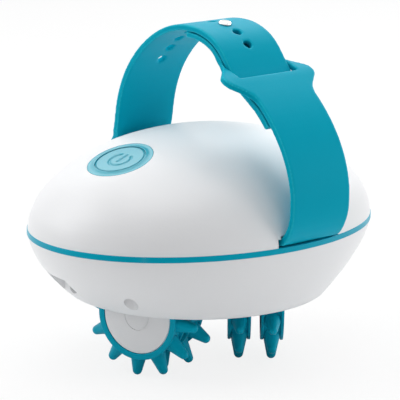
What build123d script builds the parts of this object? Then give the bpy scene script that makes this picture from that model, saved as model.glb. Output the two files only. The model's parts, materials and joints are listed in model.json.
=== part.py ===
from build123d import *
import math
import os

# Hand-held massager: an egg-shaped casing with a turntable of spiked rollers below
# and an adjustable two-piece hand strap over the top.
# Millimetres, +Z up. X runs along the casing with the power button at -X, the strap
# crosses along Y. The origin is on the floor below the middle of the casing.

# Casing
BODY_LENGTH = 160.0
BODY_WIDTH = 120.0
DOME_HEIGHT = 39.8
HULL_DEPTH = 28.3
HULL_BEND = 1.65
BASE_RADIUS = 53.4
BASE_SHIFT = -3.5
BASE_EDGE = 5.1
CASING_WALL = 2.4
BAND_HEIGHT = 2.4
BAND_PROUD = 0.25
BAND_LEDGE = 3.4

# Running and seating clearances
SLIDE_GAP = 0.3
SHAFT_GAP = 0.05
SEAT_GAP = 0.1
END_ROOM = 0.5

# How far a cut runs out past a thin piece
CUT_REACH = 9.0

# Spiked rollers
WHEEL_WIDTH = 9.5
FLANGE_RADIUS = 18.1
FLANGE_WIDTH = 1.3
DRUM_RADIUS = 16.9
SPIKE_COUNT = 12
SPIKE_REACH = 26.0
SPIKE_BASE_RADIUS = 3.5
SPIKE_TIP_RADIUS = 1.95
SPIKE_SINK = 1.0
WHEEL_POCKET_RADIUS = 15.6
WHEEL_POCKET_DEPTH = 3.4
WHEEL_HUB_RADIUS = 6.4
CAP_THICKNESS = 1.5
CAP_SETBACK = 0.3
CAP_RING_RADIUS = 5.8
CAP_RING_WIDTH = 0.5
CAP_RING_DEPTH = 0.3
INNER_WHEEL_REACH = 21.9
OUTER_WHEEL_REACH = 35.55
PAIR_ANGLES = (196.9, 316.9, 76.9)
SPIKE_PHASES = ((5.3, -5.2), (-10.0, -10.0), (5.3, -5.2))

# Roller axles
AXLE_DROP = 31.3
AXLE_RADIUS = 2.0
AXLE_INNER_END = 10.0
CLIP_RADIUS = 3.8
CLIP_THICKNESS = 0.8
CLIP_GROOVE_DEPTH = 0.4
CLIP_MOUTH = 3.0
AXLE_TAIL = 0.6

# Turntable
TURN_X = -7.75
TURN_RADIUS = 44.6
OPENING_RADIUS = 45.5
COLLAR_WALL = 1.9
COLLAR_HEIGHT = 16.0
TURN_BOTTOM = 28.6
TURN_TOP = 4.3
TURN_WALL = 2.2
TURN_LID = 2.0
POCKET_HALF_WIDTH = 27.0
POCKET_NECK_HALF_WIDTH = 19.2
POCKET_NECK_DEPTH = 2.8
HUB_RADIUS = 15.6
HUB_DROP = 35.6
HUB_COVER_THICKNESS = 1.8
PARTITION_WALL = 2.4
AXLE_BOSS_RADIUS = 4.6
LID_SCREW_REACH = 38.0
LID_SCREW_SEAT = 0.8

# Spindle and gears
SPINDLE_RADIUS = 3.0
SPINDLE_SOCKET = 22.0
BUSH_WALL = 1.5
BUSH_FLANGE = 2.0
BUSH_FLANGE_THICKNESS = 0.8
MODULE = 1.0
OUTPUT_TEETH = 40
IDLER_SMALL_TEETH = 12
IDLER_LARGE_TEETH = 36
PINION_TEETH = 10
OUTPUT_FACE = 3.0
MOTOR_GEAR_FACE = 2.4
GEAR_GAP = 0.5
BACKLASH = 0.3
ADDENDUM = 0.8
DEDENDUM = 1.15
PRESSURE_ANGLE = 20.0
CENTRE_SLACK = 0.1
FLANK_STEPS = 2
GEAR_RIM = 3.5
GEAR_HUB_WALL = 3.0
GEAR_WEB = 2.0
IDLER_ANGLE = 35.0
MOTOR_ANGLE = -60.0
IDLER_PIN_RADIUS = 1.5
IDLER_PIN_GRIP = 1.5
MOTOR_SHAFT_RADIUS = 1.0
MOTOR_RADIUS = 13.0
MOTOR_LENGTH = 15.4
MOTOR_EDGE = 1.5
MOTOR_BOSS_RADIUS = 3.0
MOTOR_BOSS_HEIGHT = 1.2
MOTOR_SHAFT_DEPTH = 4.0
MOTOR_SCREW_SPAN = 16.0
MOTOR_SCREW_HOLE = 3.0
MOTOR_SCREW_END = 4.2
MOTOR_HEAD_SHARE = 0.8
MOTOR_HEAD_PROUD = 0.4
MOTOR_HEAD_SUNK = 0.6

# Chassis plates
CHASSIS_HALF_LENGTH = 73.0
CHASSIS_HALF_WIDTH = 54.0
CHASSIS_BOTTOM = -0.7
CHASSIS_THICKNESS = 2.0
COVER_THICKNESS = 2.0
CHASSIS_POST_RADIUS = 3.6
CHASSIS_POSTS = ((35.0, 38.0), (35.0, -38.0), (-45.0, 36.0), (-45.0, -36.0))
COVER_POSTS = ((-34.0, 0.0), (-4.0, 33.0), (2.0, -31.0), (46.0, 12.0))
COVER_POST_RADIUS = 3.2

# Screws
SCREW_RADIUS = 1.4
SCREW_HEAD_RADIUS = 2.6
SCREW_HEAD_HEIGHT = 1.8
SCREW_BITE = 5.0

# Casing screws in their wells
WELL_RADIUS = 2.9
WELL_WALL = 1.8
WELL_CEILING = -10.0
SHELL_SCREW_SPOTS = ((-59.5, -23.4), (-36.0, 43.0), (35.5, 27.5), (35.5, -27.5))
SHELL_BOSS_RADIUS = 3.6
SHELL_BOSS_BOTTOM = -0.9
SHELL_BOSS_HEIGHT = 12.0
SHELL_SCREW_ROOM = 2.0

# Power button
BUTTON_X = -46.0
BEZEL_RADIUS = 13.8
BUTTON_RADIUS = 10.5
BEZEL_DISH = 0.9
BEZEL_DISH_SPREAD = 1.0
BEZEL_FLANGE = 1.8
BEZEL_SKIRT = 3.6
BUTTON_TRAVEL = 0.6
BUTTON_SUNK = 0.2
BUTTON_CUT_REACH = 20.0
BUTTON_FLANGE = 1.6
BUTTON_FLANGE_THICKNESS = 1.0
BUTTON_STEM_RADIUS = 2.0
BOARD_DEPTH = 13.0
BOARD_LENGTH = 46.0
BOARD_WIDTH = 22.0
BOARD_THICKNESS = 1.6
SWITCH_SIDE = 6.0
SWITCH_HEIGHT = 3.5
SWITCH_KNOB_RADIUS = 1.7
SWITCH_KNOB_HEIGHT = 0.8
BOARD_POST_OFFSET = 19.6
BOARD_POST_RADIUS = 2.6

# Charging recess and socket near the nose
SOCKET_ANGLE = 170.5
SOCKET_HEIGHT = -19.2
RECESS_WIDTH = 15.0
RECESS_RISE = 4.4
RECESS_FLOOR = 55.0
SOCKET_DEPTH = 7.0
SOCKET_RADIUS = 3.9
SOCKET_HOLE_RADIUS = 2.8
SOCKET_PIN_RADIUS = 1.0
SOCKET_WALL = 1.5
SOCKET_PIN_SETBACK = 1.0

# Hand strap
STRAP_X = 4.4
STRAP_WIDTH = 32.0
STRAP_THICKNESS = 2.5
TONGUE_THICKNESS = 2.2
STRAP_GAP = 0.35
STRAP_FOOT_Y = 44.0
STRAP_EXIT_Y = 56.0
FOOT_WIDTH = 37.0
FOOT_LENGTH = 3.0
FOOT_RISE = 1.6
TAIL_STATIONS = (0.5, 13.0, 24.5)
TONGUE_GAP = 0.45
TONGUE_START = 27.0
TONGUE_BEYOND_STUD = 6.2
COLLAR_WIDTH = 49.0
COLLAR_LENGTH = 4.6
COLLAR_START = -2.5
COLLAR_FLARE = 8.0
COLLAR_CORNER = 4.8
COLLAR_BLEND = 9.0
COLLAR_REACH = 14.5
COLLAR_TAPER = 13.0
LAYER_STEP = 0.05
WINDOW_SIDE = 20.0
SLOT_SIDE_ROOM = 1.8
SLOT_HEIGHT = 3.4
SLOT_LENGTH = 16.0
RIBBON_STEPS = 60
STRAP_SEAT = 0.3
FOOT_POINTS = 4
HOLE_RADIUS = 2.0
HOLE_PITCH = 7.7
STUD_Y = -7.0
HOLES_BEFORE_STUD = 2
HOLES_AFTER_STUD = 6
STUD_RADIUS = 1.5
STUD_STEM_TOP = 0.5
STUD_HEAD_GAP = 0.2
STUD_HEAD_RADIUS = 2.7
STUD_HEAD_HEIGHT = 1.3
STUD_ROUNDING = 0.8
ANCHOR_LENGTH = 46.0
ANCHOR_WIDTH = 5.0
ANCHOR_THICKNESS = 3.0
ANCHOR_SCREW_SPAN = 40.0

# Side of each outer-face line on which the strap's material lies
INWARD_BUCKLE = 1
INWARD_HOLE = -1

# Outer face of each strap half and of the tongue, as (Y, height above the band)
BUCKLE_FACE = ((-61.7, 5.0), (-65.4, 17.0), (-63.4, 31.0), (-53.1, 49.5), (-33.6, 66.2))
HOLE_FACE = (
    (61.6, 4.6),
    (64.5, 10.4),
    (61.9, 15.6),
    (56.4, 20.5),
    (51.0, 25.2),
    (47.0, 28.4),
    (44.7, 31.4),
    (43.5, 36.2),
    (42.6, 42.8),
    (37.8, 57.5),
    (26.8, 71.6),
    (4.6, 82.8),
    (-19.6, 77.7),
)

# Heights worked out from the sizes above
LOWEST_PHASE = min(abs(phase) for pair in SPIKE_PHASES for phase in pair)
AXLE_Z = SPIKE_TIP_RADIUS + (SPIKE_REACH - SPIKE_TIP_RADIUS) * math.cos(
    math.radians(LOWEST_PHASE)
)
BAND_Z = AXLE_Z + AXLE_DROP
HALF_LENGTH = BODY_LENGTH / 2
HALF_WIDTH = BODY_WIDTH / 2
SHELL_SEAM = BAND_HEIGHT / 2
CHASSIS_TOP = CHASSIS_BOTTOM + CHASSIS_THICKNESS
OUTPUT_Z = CHASSIS_TOP + BUSH_FLANGE_THICKNESS + SHAFT_GAP
LARGE_GEAR_Z = OUTPUT_Z + OUTPUT_FACE + GEAR_GAP
COVER_Z = LARGE_GEAR_Z + MOTOR_GEAR_FACE + GEAR_GAP
HUB_COVER_Z = -HUB_DROP - HUB_COVER_THICKNESS
MOTOR_HEAD_RADIUS = SCREW_HEAD_RADIUS * MOTOR_HEAD_SHARE


def band(x=0.0, y=0.0, z=0.0):
    """A place given from the middle of the band."""
    return Pos(x, y, BAND_Z + z)


def rod(radius, bottom, top):
    """An upright cylinder between two heights."""
    return Pos(0, 0, bottom) * Cylinder(
        radius, top - bottom, align=(Align.CENTER, Align.CENTER, Align.MIN)
    )


def tube(outer, inner, bottom, top):
    """An upright tube between two heights."""
    return rod(outer, bottom, top) - rod(inner, bottom - 1, top + 1)


def oval(half_length, half_width, bottom, top):
    """An upright oval plate between two heights."""
    return Pos(0, 0, bottom) * extrude(Ellipse(half_length, half_width), top - bottom)


def grouped(solids):
    """Separate solids kept as one group."""
    return Compound(children=[solid for piece in solids for solid in piece.solids()])


def screw(length):
    """A screw with its head's underside at height 0 and its shank upwards."""
    head = rod(SCREW_HEAD_RADIUS, -SCREW_HEAD_HEIGHT, 0)
    slot = Box(SCREW_HEAD_RADIUS * 1.3, SCREW_RADIUS * 0.5, SCREW_HEAD_HEIGHT)
    return head + rod(SCREW_RADIUS, 0, length) - Pos(0, 0, -SCREW_HEAD_HEIGHT) * slot


def save(name, shape):
    """Writes one node."""
    shape.label = name
    export_step(shape, f"parts/{name}.step")


# Casing forms


def dome(offset=0.0):
    """Upper half of the egg, grown by an offset."""
    ball = scale(
        Sphere(1),
        by=(HALF_LENGTH + offset, HALF_WIDTH + offset, DOME_HEIGHT + offset),
    )
    return ball & rod(BODY_LENGTH, 0, DOME_HEIGHT * 2)


def hull_oval(share, inset):
    """Cross-section of the lower casing at a share of its depth."""
    blend = share**HULL_BEND
    half_length = HALF_LENGTH + (BASE_RADIUS - HALF_LENGTH) * blend - inset
    half_width = HALF_WIDTH + (BASE_RADIUS - HALF_WIDTH) * blend - inset
    place = Pos(BASE_SHIFT * blend, 0, -HULL_DEPTH * share)
    return place * Ellipse(half_length, half_width)


def hull(inset=0.0, steps=6):
    """Lower casing form from the band down to the base, shrunk by an inset."""
    ovals = [hull_oval(step / steps, inset) for step in range(steps + 1)]
    return loft(ovals)


def outer_hull():
    """Lower casing form with its rounded lower edge."""
    form = hull()
    base_edges = form.faces().sort_by(Axis.Z)[0].edges()
    return fillet(base_edges, BASE_EDGE)


def inner_hull():
    """Hollow of the lower casing."""
    form = hull(CASING_WALL)
    return form & rod(BODY_LENGTH, CASING_WALL - HULL_DEPTH, 1)


def rim_band():
    """Coloured ring clamped between the two shells."""
    grow = BAND_PROUD
    ring = oval(HALF_LENGTH + grow, HALF_WIDTH + grow, -SHELL_SEAM, SHELL_SEAM)
    ring = fillet(ring.edges(), BAND_PROUD * 1.5)
    hole = oval(HALF_LENGTH - BAND_LEDGE, HALF_WIDTH - BAND_LEDGE, -CUT_REACH, CUT_REACH)
    ring = ring - hole
    for spot in SHELL_SCREW_SPOTS:
        ring -= Pos(*spot) * rod(SHELL_BOSS_RADIUS + SLIDE_GAP, -CUT_REACH, CUT_REACH)
    return band() * ring


# Hand strap


def face_spline(side, points):
    """Line on the outer face of a strap half, from its foot through the slot."""
    level = SHELL_SEAM + STRAP_SEAT
    pace = (STRAP_EXIT_Y - STRAP_FOOT_Y) / FOOT_POINTS
    foot = [(0, side * (STRAP_FOOT_Y + pace * n), level) for n in range(FOOT_POINTS + 1)]
    return Spline(*foot, *[(0, y, z) for y, z in points])


def ribbon(path, width, thickness, inward, grow=0.0):
    """Band of material beside a line on its outer face, grown by a clearance."""
    outer = []
    inner = []
    for step in range(RIBBON_STEPS + 1):
        share = step / RIBBON_STEPS
        along = path % share
        normal = Vector(0, along.Z, -along.Y) * inward
        outer.append(path @ share - normal * grow)
        inner.append(path @ share + normal * (thickness + grow))
    sides = [Spline(*outer), Line(outer[-1], inner[-1]), Spline(*inner)]
    profile = make_face([*sides, Line(outer[0], inner[0])])
    return extrude(profile, width / 2 + grow, dir=(1, 0, 0), both=True)


def buckle_path():
    """Outer-face line of the near strap half, up to the slot's front edge."""
    return face_spline(-1, BUCKLE_FACE)


def under_face(path, distance, depth, inward):
    """Point below a strap's outer face at a length along its path."""
    along = path.tangent_at(distance, PositionMode.LENGTH)
    normal = Vector(0, along.Z, -along.Y) * inward
    return path.position_at(distance, PositionMode.LENGTH) + normal * depth


def hole_path():
    """Outer-face line of the far strap half, down to its tail under the near half."""
    near = buckle_path()
    depth = STRAP_THICKNESS + 2 * STRAP_GAP
    tail = [
        under_face(near, near.length - back, depth, INWARD_BUCKLE) for back in TAIL_STATIONS
    ]
    return face_spline(1, [*HOLE_FACE, *[(place.Y, place.Z) for place in tail]])


def tongue_path():
    """Outer-face line of the tongue, from beyond the stud to below the slot."""
    path = hole_path()
    depth = STRAP_THICKNESS + TONGUE_GAP
    start = stud_distance(path) - TONGUE_BEYOND_STUD
    pace = (path.length - TONGUE_START - start) / FOOT_POINTS
    stations = [start + pace * n for n in range(FOOT_POINTS + 1)]
    return Spline(*[under_face(path, station, depth, INWARD_HOLE) for station in stations])


def buckle_ribbon(grow=0.0):
    """The near strap half's long curve."""
    return ribbon(buckle_path(), STRAP_WIDTH, STRAP_THICKNESS, INWARD_BUCKLE, grow)


def hole_ribbon(grow=0.0):
    """The far strap half's long curve."""
    return ribbon(hole_path(), STRAP_WIDTH, STRAP_THICKNESS, INWARD_HOLE, grow)


def strap_foot(side):
    """Raised bead across the strap's inner end, behind the clamping bar."""
    bottom = SHELL_SEAM + STRAP_SEAT
    bead = Box(
        FOOT_WIDTH,
        FOOT_LENGTH,
        STRAP_THICKNESS + FOOT_RISE,
        align=(Align.CENTER, Align.CENTER, Align.MIN),
    )
    return Pos(0, side * (STRAP_FOOT_Y - FOOT_LENGTH / 2), bottom) * bead


def collar_place():
    """Frame on the near strap's outer face at the front edge of its slot."""
    path = buckle_path()
    along = path % 1
    return Plane(path @ 1, x_dir=(1, 0, 0), z_dir=(0, -along.Z, along.Y)).location


def collar_outline():
    """Plan of the collar: the strap's width, flared to rounded side lobes."""
    narrow = STRAP_WIDTH / 2
    wide = COLLAR_WIDTH / 2
    right_side = [
        (narrow, -COLLAR_REACH),
        (narrow, COLLAR_START - COLLAR_FLARE),
        (wide, COLLAR_START),
        (wide, COLLAR_START + COLLAR_LENGTH),
        (narrow, COLLAR_START + COLLAR_LENGTH + COLLAR_FLARE),
        (narrow, COLLAR_REACH + COLLAR_FLARE),
    ]
    left_side = [(-x, y) for x, y in reversed(right_side)]
    outline = make_face(Polyline(*right_side, *left_side, close=True))
    tips = [corner for corner in outline.vertices() if abs(corner.X) > wide - LAYER_STEP]
    outline = fillet(tips, COLLAR_CORNER)
    bends = [
        corner
        for corner in outline.vertices()
        if abs(abs(corner.X) - narrow) < LAYER_STEP and abs(corner.Y) < COLLAR_REACH - LAYER_STEP
    ]
    return fillet(bends, COLLAR_BLEND)


def collar_profile():
    """Side view of the collar, from the near strap's faces down to the tongue's."""
    near = buckle_path()
    tongue = tongue_path()
    before = near.length - COLLAR_REACH
    halfway = near.length - COLLAR_REACH / 2
    ahead = tongue.length - COLLAR_TAPER / 2
    far = tongue.length - COLLAR_TAPER
    outer = [
        under_face(near, before, LAYER_STEP, INWARD_BUCKLE),
        under_face(near, halfway, LAYER_STEP, INWARD_BUCKLE),
        under_face(near, near.length, LAYER_STEP, INWARD_BUCKLE),
        under_face(tongue, ahead, -2 * STRAP_GAP, INWARD_HOLE),
        under_face(tongue, far, LAYER_STEP, INWARD_HOLE),
    ]
    inner = [
        under_face(near, before, STRAP_THICKNESS - LAYER_STEP, INWARD_BUCKLE),
        under_face(near, halfway, STRAP_THICKNESS + LAYER_STEP, INWARD_BUCKLE),
        under_face(near, near.length, STRAP_THICKNESS + STRAP_GAP, INWARD_BUCKLE),
        under_face(tongue, ahead, TONGUE_THICKNESS - LAYER_STEP, INWARD_HOLE),
        under_face(tongue, far, TONGUE_THICKNESS - LAYER_STEP, INWARD_HOLE),
    ]
    ends = [Line(outer[0], inner[0]), Line(outer[-1], inner[-1])]
    return make_face([Spline(*outer), Spline(*inner), *ends])


def collar():
    """Flared loop that joins the near strap to the tongue on both sides of the slot."""
    block = extrude(collar_place() * collar_outline(), DOME_HEIGHT, both=True)
    return block & extrude(collar_profile(), COLLAR_WIDTH, dir=(1, 0, 0), both=True)


def buckle_strap():
    """Near strap half: foot, long curve, collar with its slot, and the tongue."""
    whole = buckle_ribbon() + strap_foot(-1) + collar()
    window = Box(
        STRAP_WIDTH + 2 * STRAP_GAP,
        WINDOW_SIDE,
        WINDOW_SIDE,
        align=(Align.CENTER, Align.MIN, Align.MIN),
    )
    window_floor = -STRAP_THICKNESS - STRAP_GAP
    whole -= collar_place() * Pos(0, 0, window_floor) * window
    whole -= hole_ribbon(STRAP_GAP)
    whole += ribbon(tongue_path(), STRAP_WIDTH, TONGUE_THICKNESS, INWARD_HOLE)
    whole -= stud_place() * rod(STUD_RADIUS, -WINDOW_SIDE, WINDOW_SIDE)
    return band(STRAP_X) * whole


def stud_distance(path):
    """Length along the hole strap's path from its foot to the stud."""
    low = path.length / 2
    high = path.length
    while high - low > SHAFT_GAP / 10:
        middle = (low + high) / 2
        if path.position_at(middle, PositionMode.LENGTH).Y > STUD_Y:
            low = middle
        else:
            high = middle
    return low


def hole_place(path, distance):
    """Frame on the outer face with Z pointing out of the strap."""
    along = path.tangent_at(distance, PositionMode.LENGTH)
    origin = path.position_at(distance, PositionMode.LENGTH)
    return Plane(origin, x_dir=(1, 0, 0), z_dir=(0, along.Z, -along.Y)).location


def stud_place():
    """Frame of the hole that the stud is buttoned through."""
    path = hole_path()
    return hole_place(path, stud_distance(path))


def hole_strap():
    """Far strap half with its row of holes and its tucked tail."""
    path = hole_path()
    strap = hole_ribbon() + strap_foot(1)
    for number in range(-HOLES_AFTER_STUD, HOLES_BEFORE_STUD + 1):
        distance = stud_distance(path) + number * HOLE_PITCH
        strap -= hole_place(path, distance) * rod(HOLE_RADIUS, -2 * STRAP_THICKNESS, 1)
    return band(STRAP_X) * strap


def strap_stud():
    """Metal stud, riveted to the tongue and buttoned through one hole."""
    depth = STRAP_THICKNESS + TONGUE_GAP + TONGUE_THICKNESS
    stem = rod(STUD_RADIUS - SHAFT_GAP, -depth, STUD_STEM_TOP)
    head = rod(STUD_HEAD_RADIUS, STUD_HEAD_GAP, STUD_HEAD_HEIGHT)
    head = fillet(head.edges().sort_by(Axis.Z)[-1], STUD_HEAD_HEIGHT * STUD_ROUNDING)
    return band(STRAP_X) * stud_place() * (stem + head)


def anchor_spots(side):
    """Screw places of one clamping bar."""
    y = side * (STRAP_FOOT_Y + ANCHOR_WIDTH / 2 + SEAT_GAP)
    return [(STRAP_X + half * ANCHOR_SCREW_SPAN / 2, y) for half in (-1, 1)]


def strap_anchor(side):
    """Bar that clamps the strap's foot down on the chassis."""
    bottom = SHELL_SEAM + STRAP_SEAT + STRAP_THICKNESS + SEAT_GAP
    y = side * (STRAP_FOOT_Y + ANCHOR_WIDTH / 2 + SEAT_GAP)
    bar = Box(
        ANCHOR_LENGTH,
        ANCHOR_WIDTH,
        ANCHOR_THICKNESS,
        align=(Align.CENTER, Align.CENTER, Align.MIN),
    )
    bar = Pos(STRAP_X, y, bottom) * bar
    for spot in anchor_spots(side):
        bar += Pos(*spot) * rod(ANCHOR_WIDTH / 2, CHASSIS_TOP, bottom + SEAT_GAP)
    for spot in anchor_spots(side):
        bar -= Pos(*spot) * rod(SCREW_RADIUS + SEAT_GAP, -CUT_REACH, CUT_REACH)
    return band() * bar


# Power button


def button_place():
    """Frame on the dome at the button, with Z pointing out of the casing."""
    height = DOME_HEIGHT * math.sqrt(1 - (BUTTON_X / HALF_LENGTH) ** 2)
    normal = (BUTTON_X / HALF_LENGTH**2, 0, height / DOME_HEIGHT**2)
    return Plane((BUTTON_X, 0, height), x_dir=(0, 1, 0), z_dir=normal).location


def dome_ring(outer, inner, low, high):
    """Ring or disc round the button's axis that follows the dome's curve."""
    blank = rod(outer, -BUTTON_CUT_REACH, BUTTON_CUT_REACH)
    if inner:
        blank -= rod(inner, -BUTTON_CUT_REACH - 1, BUTTON_CUT_REACH + 1)
    return (button_place() * blank) & (dome(high) - dome(low))


def button_bezel():
    """Dished ring round the power button, snapped in from below."""
    bore = BUTTON_RADIUS + SLIDE_GAP
    ring = dome_ring(BEZEL_RADIUS, bore, -BEZEL_SKIRT, 0.0)
    flange_top = -CASING_WALL - SEAT_GAP
    flange = dome_ring(BEZEL_RADIUS + BEZEL_FLANGE, bore, -BEZEL_SKIRT, flange_top)
    dish = Cone(
        BUTTON_RADIUS,
        BEZEL_RADIUS + BEZEL_DISH_SPREAD,
        BEZEL_DISH * 2,
        align=(Align.CENTER, Align.CENTER, Align.MIN),
    )
    dish = button_place() * Pos(0, 0, -BEZEL_DISH * 1.5) * dish
    return band() * (ring + flange - dish)


def power_button():
    """Press button with its stem and the flange that keeps it in."""
    disc = dome_ring(BUTTON_RADIUS, 0, -BEZEL_SKIRT - BUTTON_FLANGE_THICKNESS, -BUTTON_SUNK)
    keeper_top = -BEZEL_SKIRT - SLIDE_GAP
    keeper = dome_ring(
        BUTTON_RADIUS + BUTTON_FLANGE,
        0,
        keeper_top - BUTTON_FLANGE_THICKNESS,
        keeper_top,
    )
    knob_top = -BOARD_DEPTH + SWITCH_HEIGHT + SWITCH_KNOB_HEIGHT
    stem_end = knob_top + BUTTON_TRAVEL + SEAT_GAP
    stem = button_place() * rod(BUTTON_STEM_RADIUS, stem_end, -BEZEL_SKIRT)
    return band() * (disc + keeper + stem)


def circuit_board():
    """Board behind the button, across its axis."""
    board = Box(
        BOARD_LENGTH,
        BOARD_WIDTH,
        BOARD_THICKNESS,
        align=(Align.CENTER, Align.CENTER, Align.MAX),
    )
    for side in (-1, 1):
        hole = rod(SCREW_RADIUS + SEAT_GAP, -CUT_REACH, CUT_REACH)
        board -= Pos(side * BOARD_POST_OFFSET) * hole
    return band() * button_place() * Pos(0, 0, -BOARD_DEPTH) * board


def tactile_switch():
    """Small push switch under the button's stem."""
    body = Box(
        SWITCH_SIDE,
        SWITCH_SIDE,
        SWITCH_HEIGHT,
        align=(Align.CENTER, Align.CENTER, Align.MIN),
    )
    knob = rod(SWITCH_KNOB_RADIUS, SWITCH_HEIGHT, SWITCH_HEIGHT + SWITCH_KNOB_HEIGHT)
    return band() * button_place() * Pos(0, 0, -BOARD_DEPTH) * (body + knob)


def board_posts():
    """Posts inside the dome that carry the board."""
    posts = Part()
    for side in (-1, 1):
        post = rod(BOARD_POST_RADIUS, -BOARD_DEPTH, CUT_REACH)
        posts += button_place() * Pos(side * BOARD_POST_OFFSET) * post
    return posts & dome(-CASING_WALL / 2)


def board_screws():
    """Two screws through the board into the posts."""
    low = -BOARD_DEPTH - BOARD_THICKNESS
    pair = [
        button_place() * Pos(side * BOARD_POST_OFFSET, 0, low) * screw(SCREW_BITE)
        for side in (-1, 1)
    ]
    return band() * grouped(pair)


# Shells


def upper_shell():
    """Domed casing with the button hole, the strap slots and its inner posts."""
    form = dome() & rod(BODY_LENGTH, SHELL_SEAM, DOME_HEIGHT * 2)
    shell = form - dome(-CASING_WALL)
    bosses = Part()
    for spot in SHELL_SCREW_SPOTS:
        bosses += Pos(*spot) * rod(SHELL_BOSS_RADIUS, SHELL_BOSS_BOTTOM, DOME_HEIGHT)
    shell += bosses & (dome(-CASING_WALL / 2) + rod(BODY_LENGTH, -CUT_REACH, SHELL_SEAM))
    shell += board_posts()
    for spot in SHELL_SCREW_SPOTS:
        shell -= Pos(*spot) * rod(SCREW_RADIUS + SHAFT_GAP, -CUT_REACH, SHELL_BOSS_HEIGHT)
    shell -= button_place() * rod(BEZEL_RADIUS + SEAT_GAP, -CUT_REACH, CUT_REACH)
    for side in (-1, 1):
        pilot = rod(SCREW_RADIUS + SHAFT_GAP, -BOARD_DEPTH - 1, SCREW_BITE - BOARD_DEPTH)
        shell -= button_place() * Pos(side * BOARD_POST_OFFSET) * pilot
    slot = Box(
        STRAP_WIDTH + 2 * SLOT_SIDE_ROOM,
        SLOT_LENGTH,
        SLOT_HEIGHT,
        align=(Align.CENTER, Align.CENTER, Align.MIN),
    )
    for side in (-1, 1):
        shell -= Pos(STRAP_X, side * STRAP_EXIT_Y, SHELL_SEAM) * slot
    shell -= Pos(STRAP_X) * buckle_ribbon(STRAP_GAP)
    shell -= Pos(STRAP_X) * hole_ribbon(STRAP_GAP)
    return band() * shell


def socket_place():
    """Frame at the turntable's axis that looks out through the socket."""
    return Pos(TURN_X, 0, SOCKET_HEIGHT) * Rot(0, 0, SOCKET_ANGLE)


def lower_shell():
    """Bowl-shaped casing with the turntable's opening, wells, posts and recess."""
    form = outer_hull()
    collar_top = COLLAR_HEIGHT - HULL_DEPTH
    filled = Pos(TURN_X) * rod(OPENING_RADIUS + COLLAR_WALL, -HULL_DEPTH, collar_top)
    for spot in SHELL_SCREW_SPOTS:
        filled += Pos(*spot) * rod(WELL_RADIUS + WELL_WALL, -HULL_DEPTH, -SHELL_SEAM)
    for spot in CHASSIS_POSTS:
        filled += Pos(*spot) * rod(CHASSIS_POST_RADIUS, -HULL_DEPTH, CHASSIS_BOTTOM)
    backing = Box(
        RECESS_FLOOR,
        RECESS_WIDTH + 2 * CASING_WALL,
        HULL_DEPTH,
        align=(Align.MIN, Align.CENTER, Align.MAX),
    )
    backing_place = Pos(RECESS_FLOOR - CASING_WALL, 0, RECESS_RISE + CASING_WALL)
    filled += socket_place() * backing_place * backing
    shell = form - (inner_hull() - filled)
    shell -= Pos(TURN_X) * rod(OPENING_RADIUS, -HULL_DEPTH - 1, collar_top + 1)
    recess = Box(
        RECESS_FLOOR,
        RECESS_WIDTH,
        HULL_DEPTH,
        align=(Align.MIN, Align.CENTER, Align.MAX),
    )
    shell -= socket_place() * Pos(RECESS_FLOOR, 0, RECESS_RISE) * recess
    passage = rod(SOCKET_RADIUS + SEAT_GAP, RECESS_FLOOR - 2 * CASING_WALL, RECESS_FLOOR + 1)
    shell -= socket_place() * Rot(0, 90, 0) * passage
    for spot in SHELL_SCREW_SPOTS:
        shell -= Pos(*spot) * rod(WELL_RADIUS, -HULL_DEPTH - 1, WELL_CEILING)
        shell -= Pos(*spot) * rod(SCREW_RADIUS + SEAT_GAP, WELL_CEILING - 1, 1)
    for spot in CHASSIS_POSTS:
        shell -= Pos(*spot) * rod(SCREW_RADIUS + SHAFT_GAP, CHASSIS_BOTTOM - SCREW_BITE, 1)
    shell -= rod(BODY_LENGTH, -SHELL_SEAM, CUT_REACH)
    return band() * shell


def dc_socket():
    """Round charging socket with its centre pin, behind the recess."""
    back = RECESS_FLOOR - SOCKET_DEPTH
    body = rod(SOCKET_RADIUS, back, RECESS_FLOOR)
    hole = rod(SOCKET_HOLE_RADIUS, back + SOCKET_WALL, RECESS_FLOOR + CUT_REACH)
    pin = rod(SOCKET_PIN_RADIUS, back, RECESS_FLOOR - SOCKET_PIN_SETBACK)
    return band() * socket_place() * Rot(0, 90, 0) * (body - hole + pin)


def shell_screws():
    """Four long screws from the wells up into the upper shell."""
    length = SHELL_BOSS_HEIGHT - WELL_CEILING - SHELL_SCREW_ROOM
    return band() * grouped(
        [Pos(*spot, WELL_CEILING) * screw(length) for spot in SHELL_SCREW_SPOTS]
    )


# Turntable


def radial(angle):
    """Frame at the turntable's axis with X pointing out along one axle."""
    return Pos(TURN_X, 0, -AXLE_DROP) * Rot(0, 0, angle)


def wheel_pocket():
    """Room for one pair of rollers, open outwards and below."""
    neck = INNER_WHEEL_REACH - WHEEL_WIDTH / 2 - SLIDE_GAP
    corner = neck + POCKET_NECK_DEPTH
    far = TURN_RADIUS * 1.3
    outline = Polyline(
        (neck, -POCKET_NECK_HALF_WIDTH),
        (corner, -POCKET_HALF_WIDTH),
        (far, -POCKET_HALF_WIDTH),
        (far, POCKET_HALF_WIDTH),
        (corner, POCKET_HALF_WIDTH),
        (neck, POCKET_NECK_HALF_WIDTH),
        close=True,
    )
    return extrude(make_face(outline), 2 * AXLE_DROP)


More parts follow.
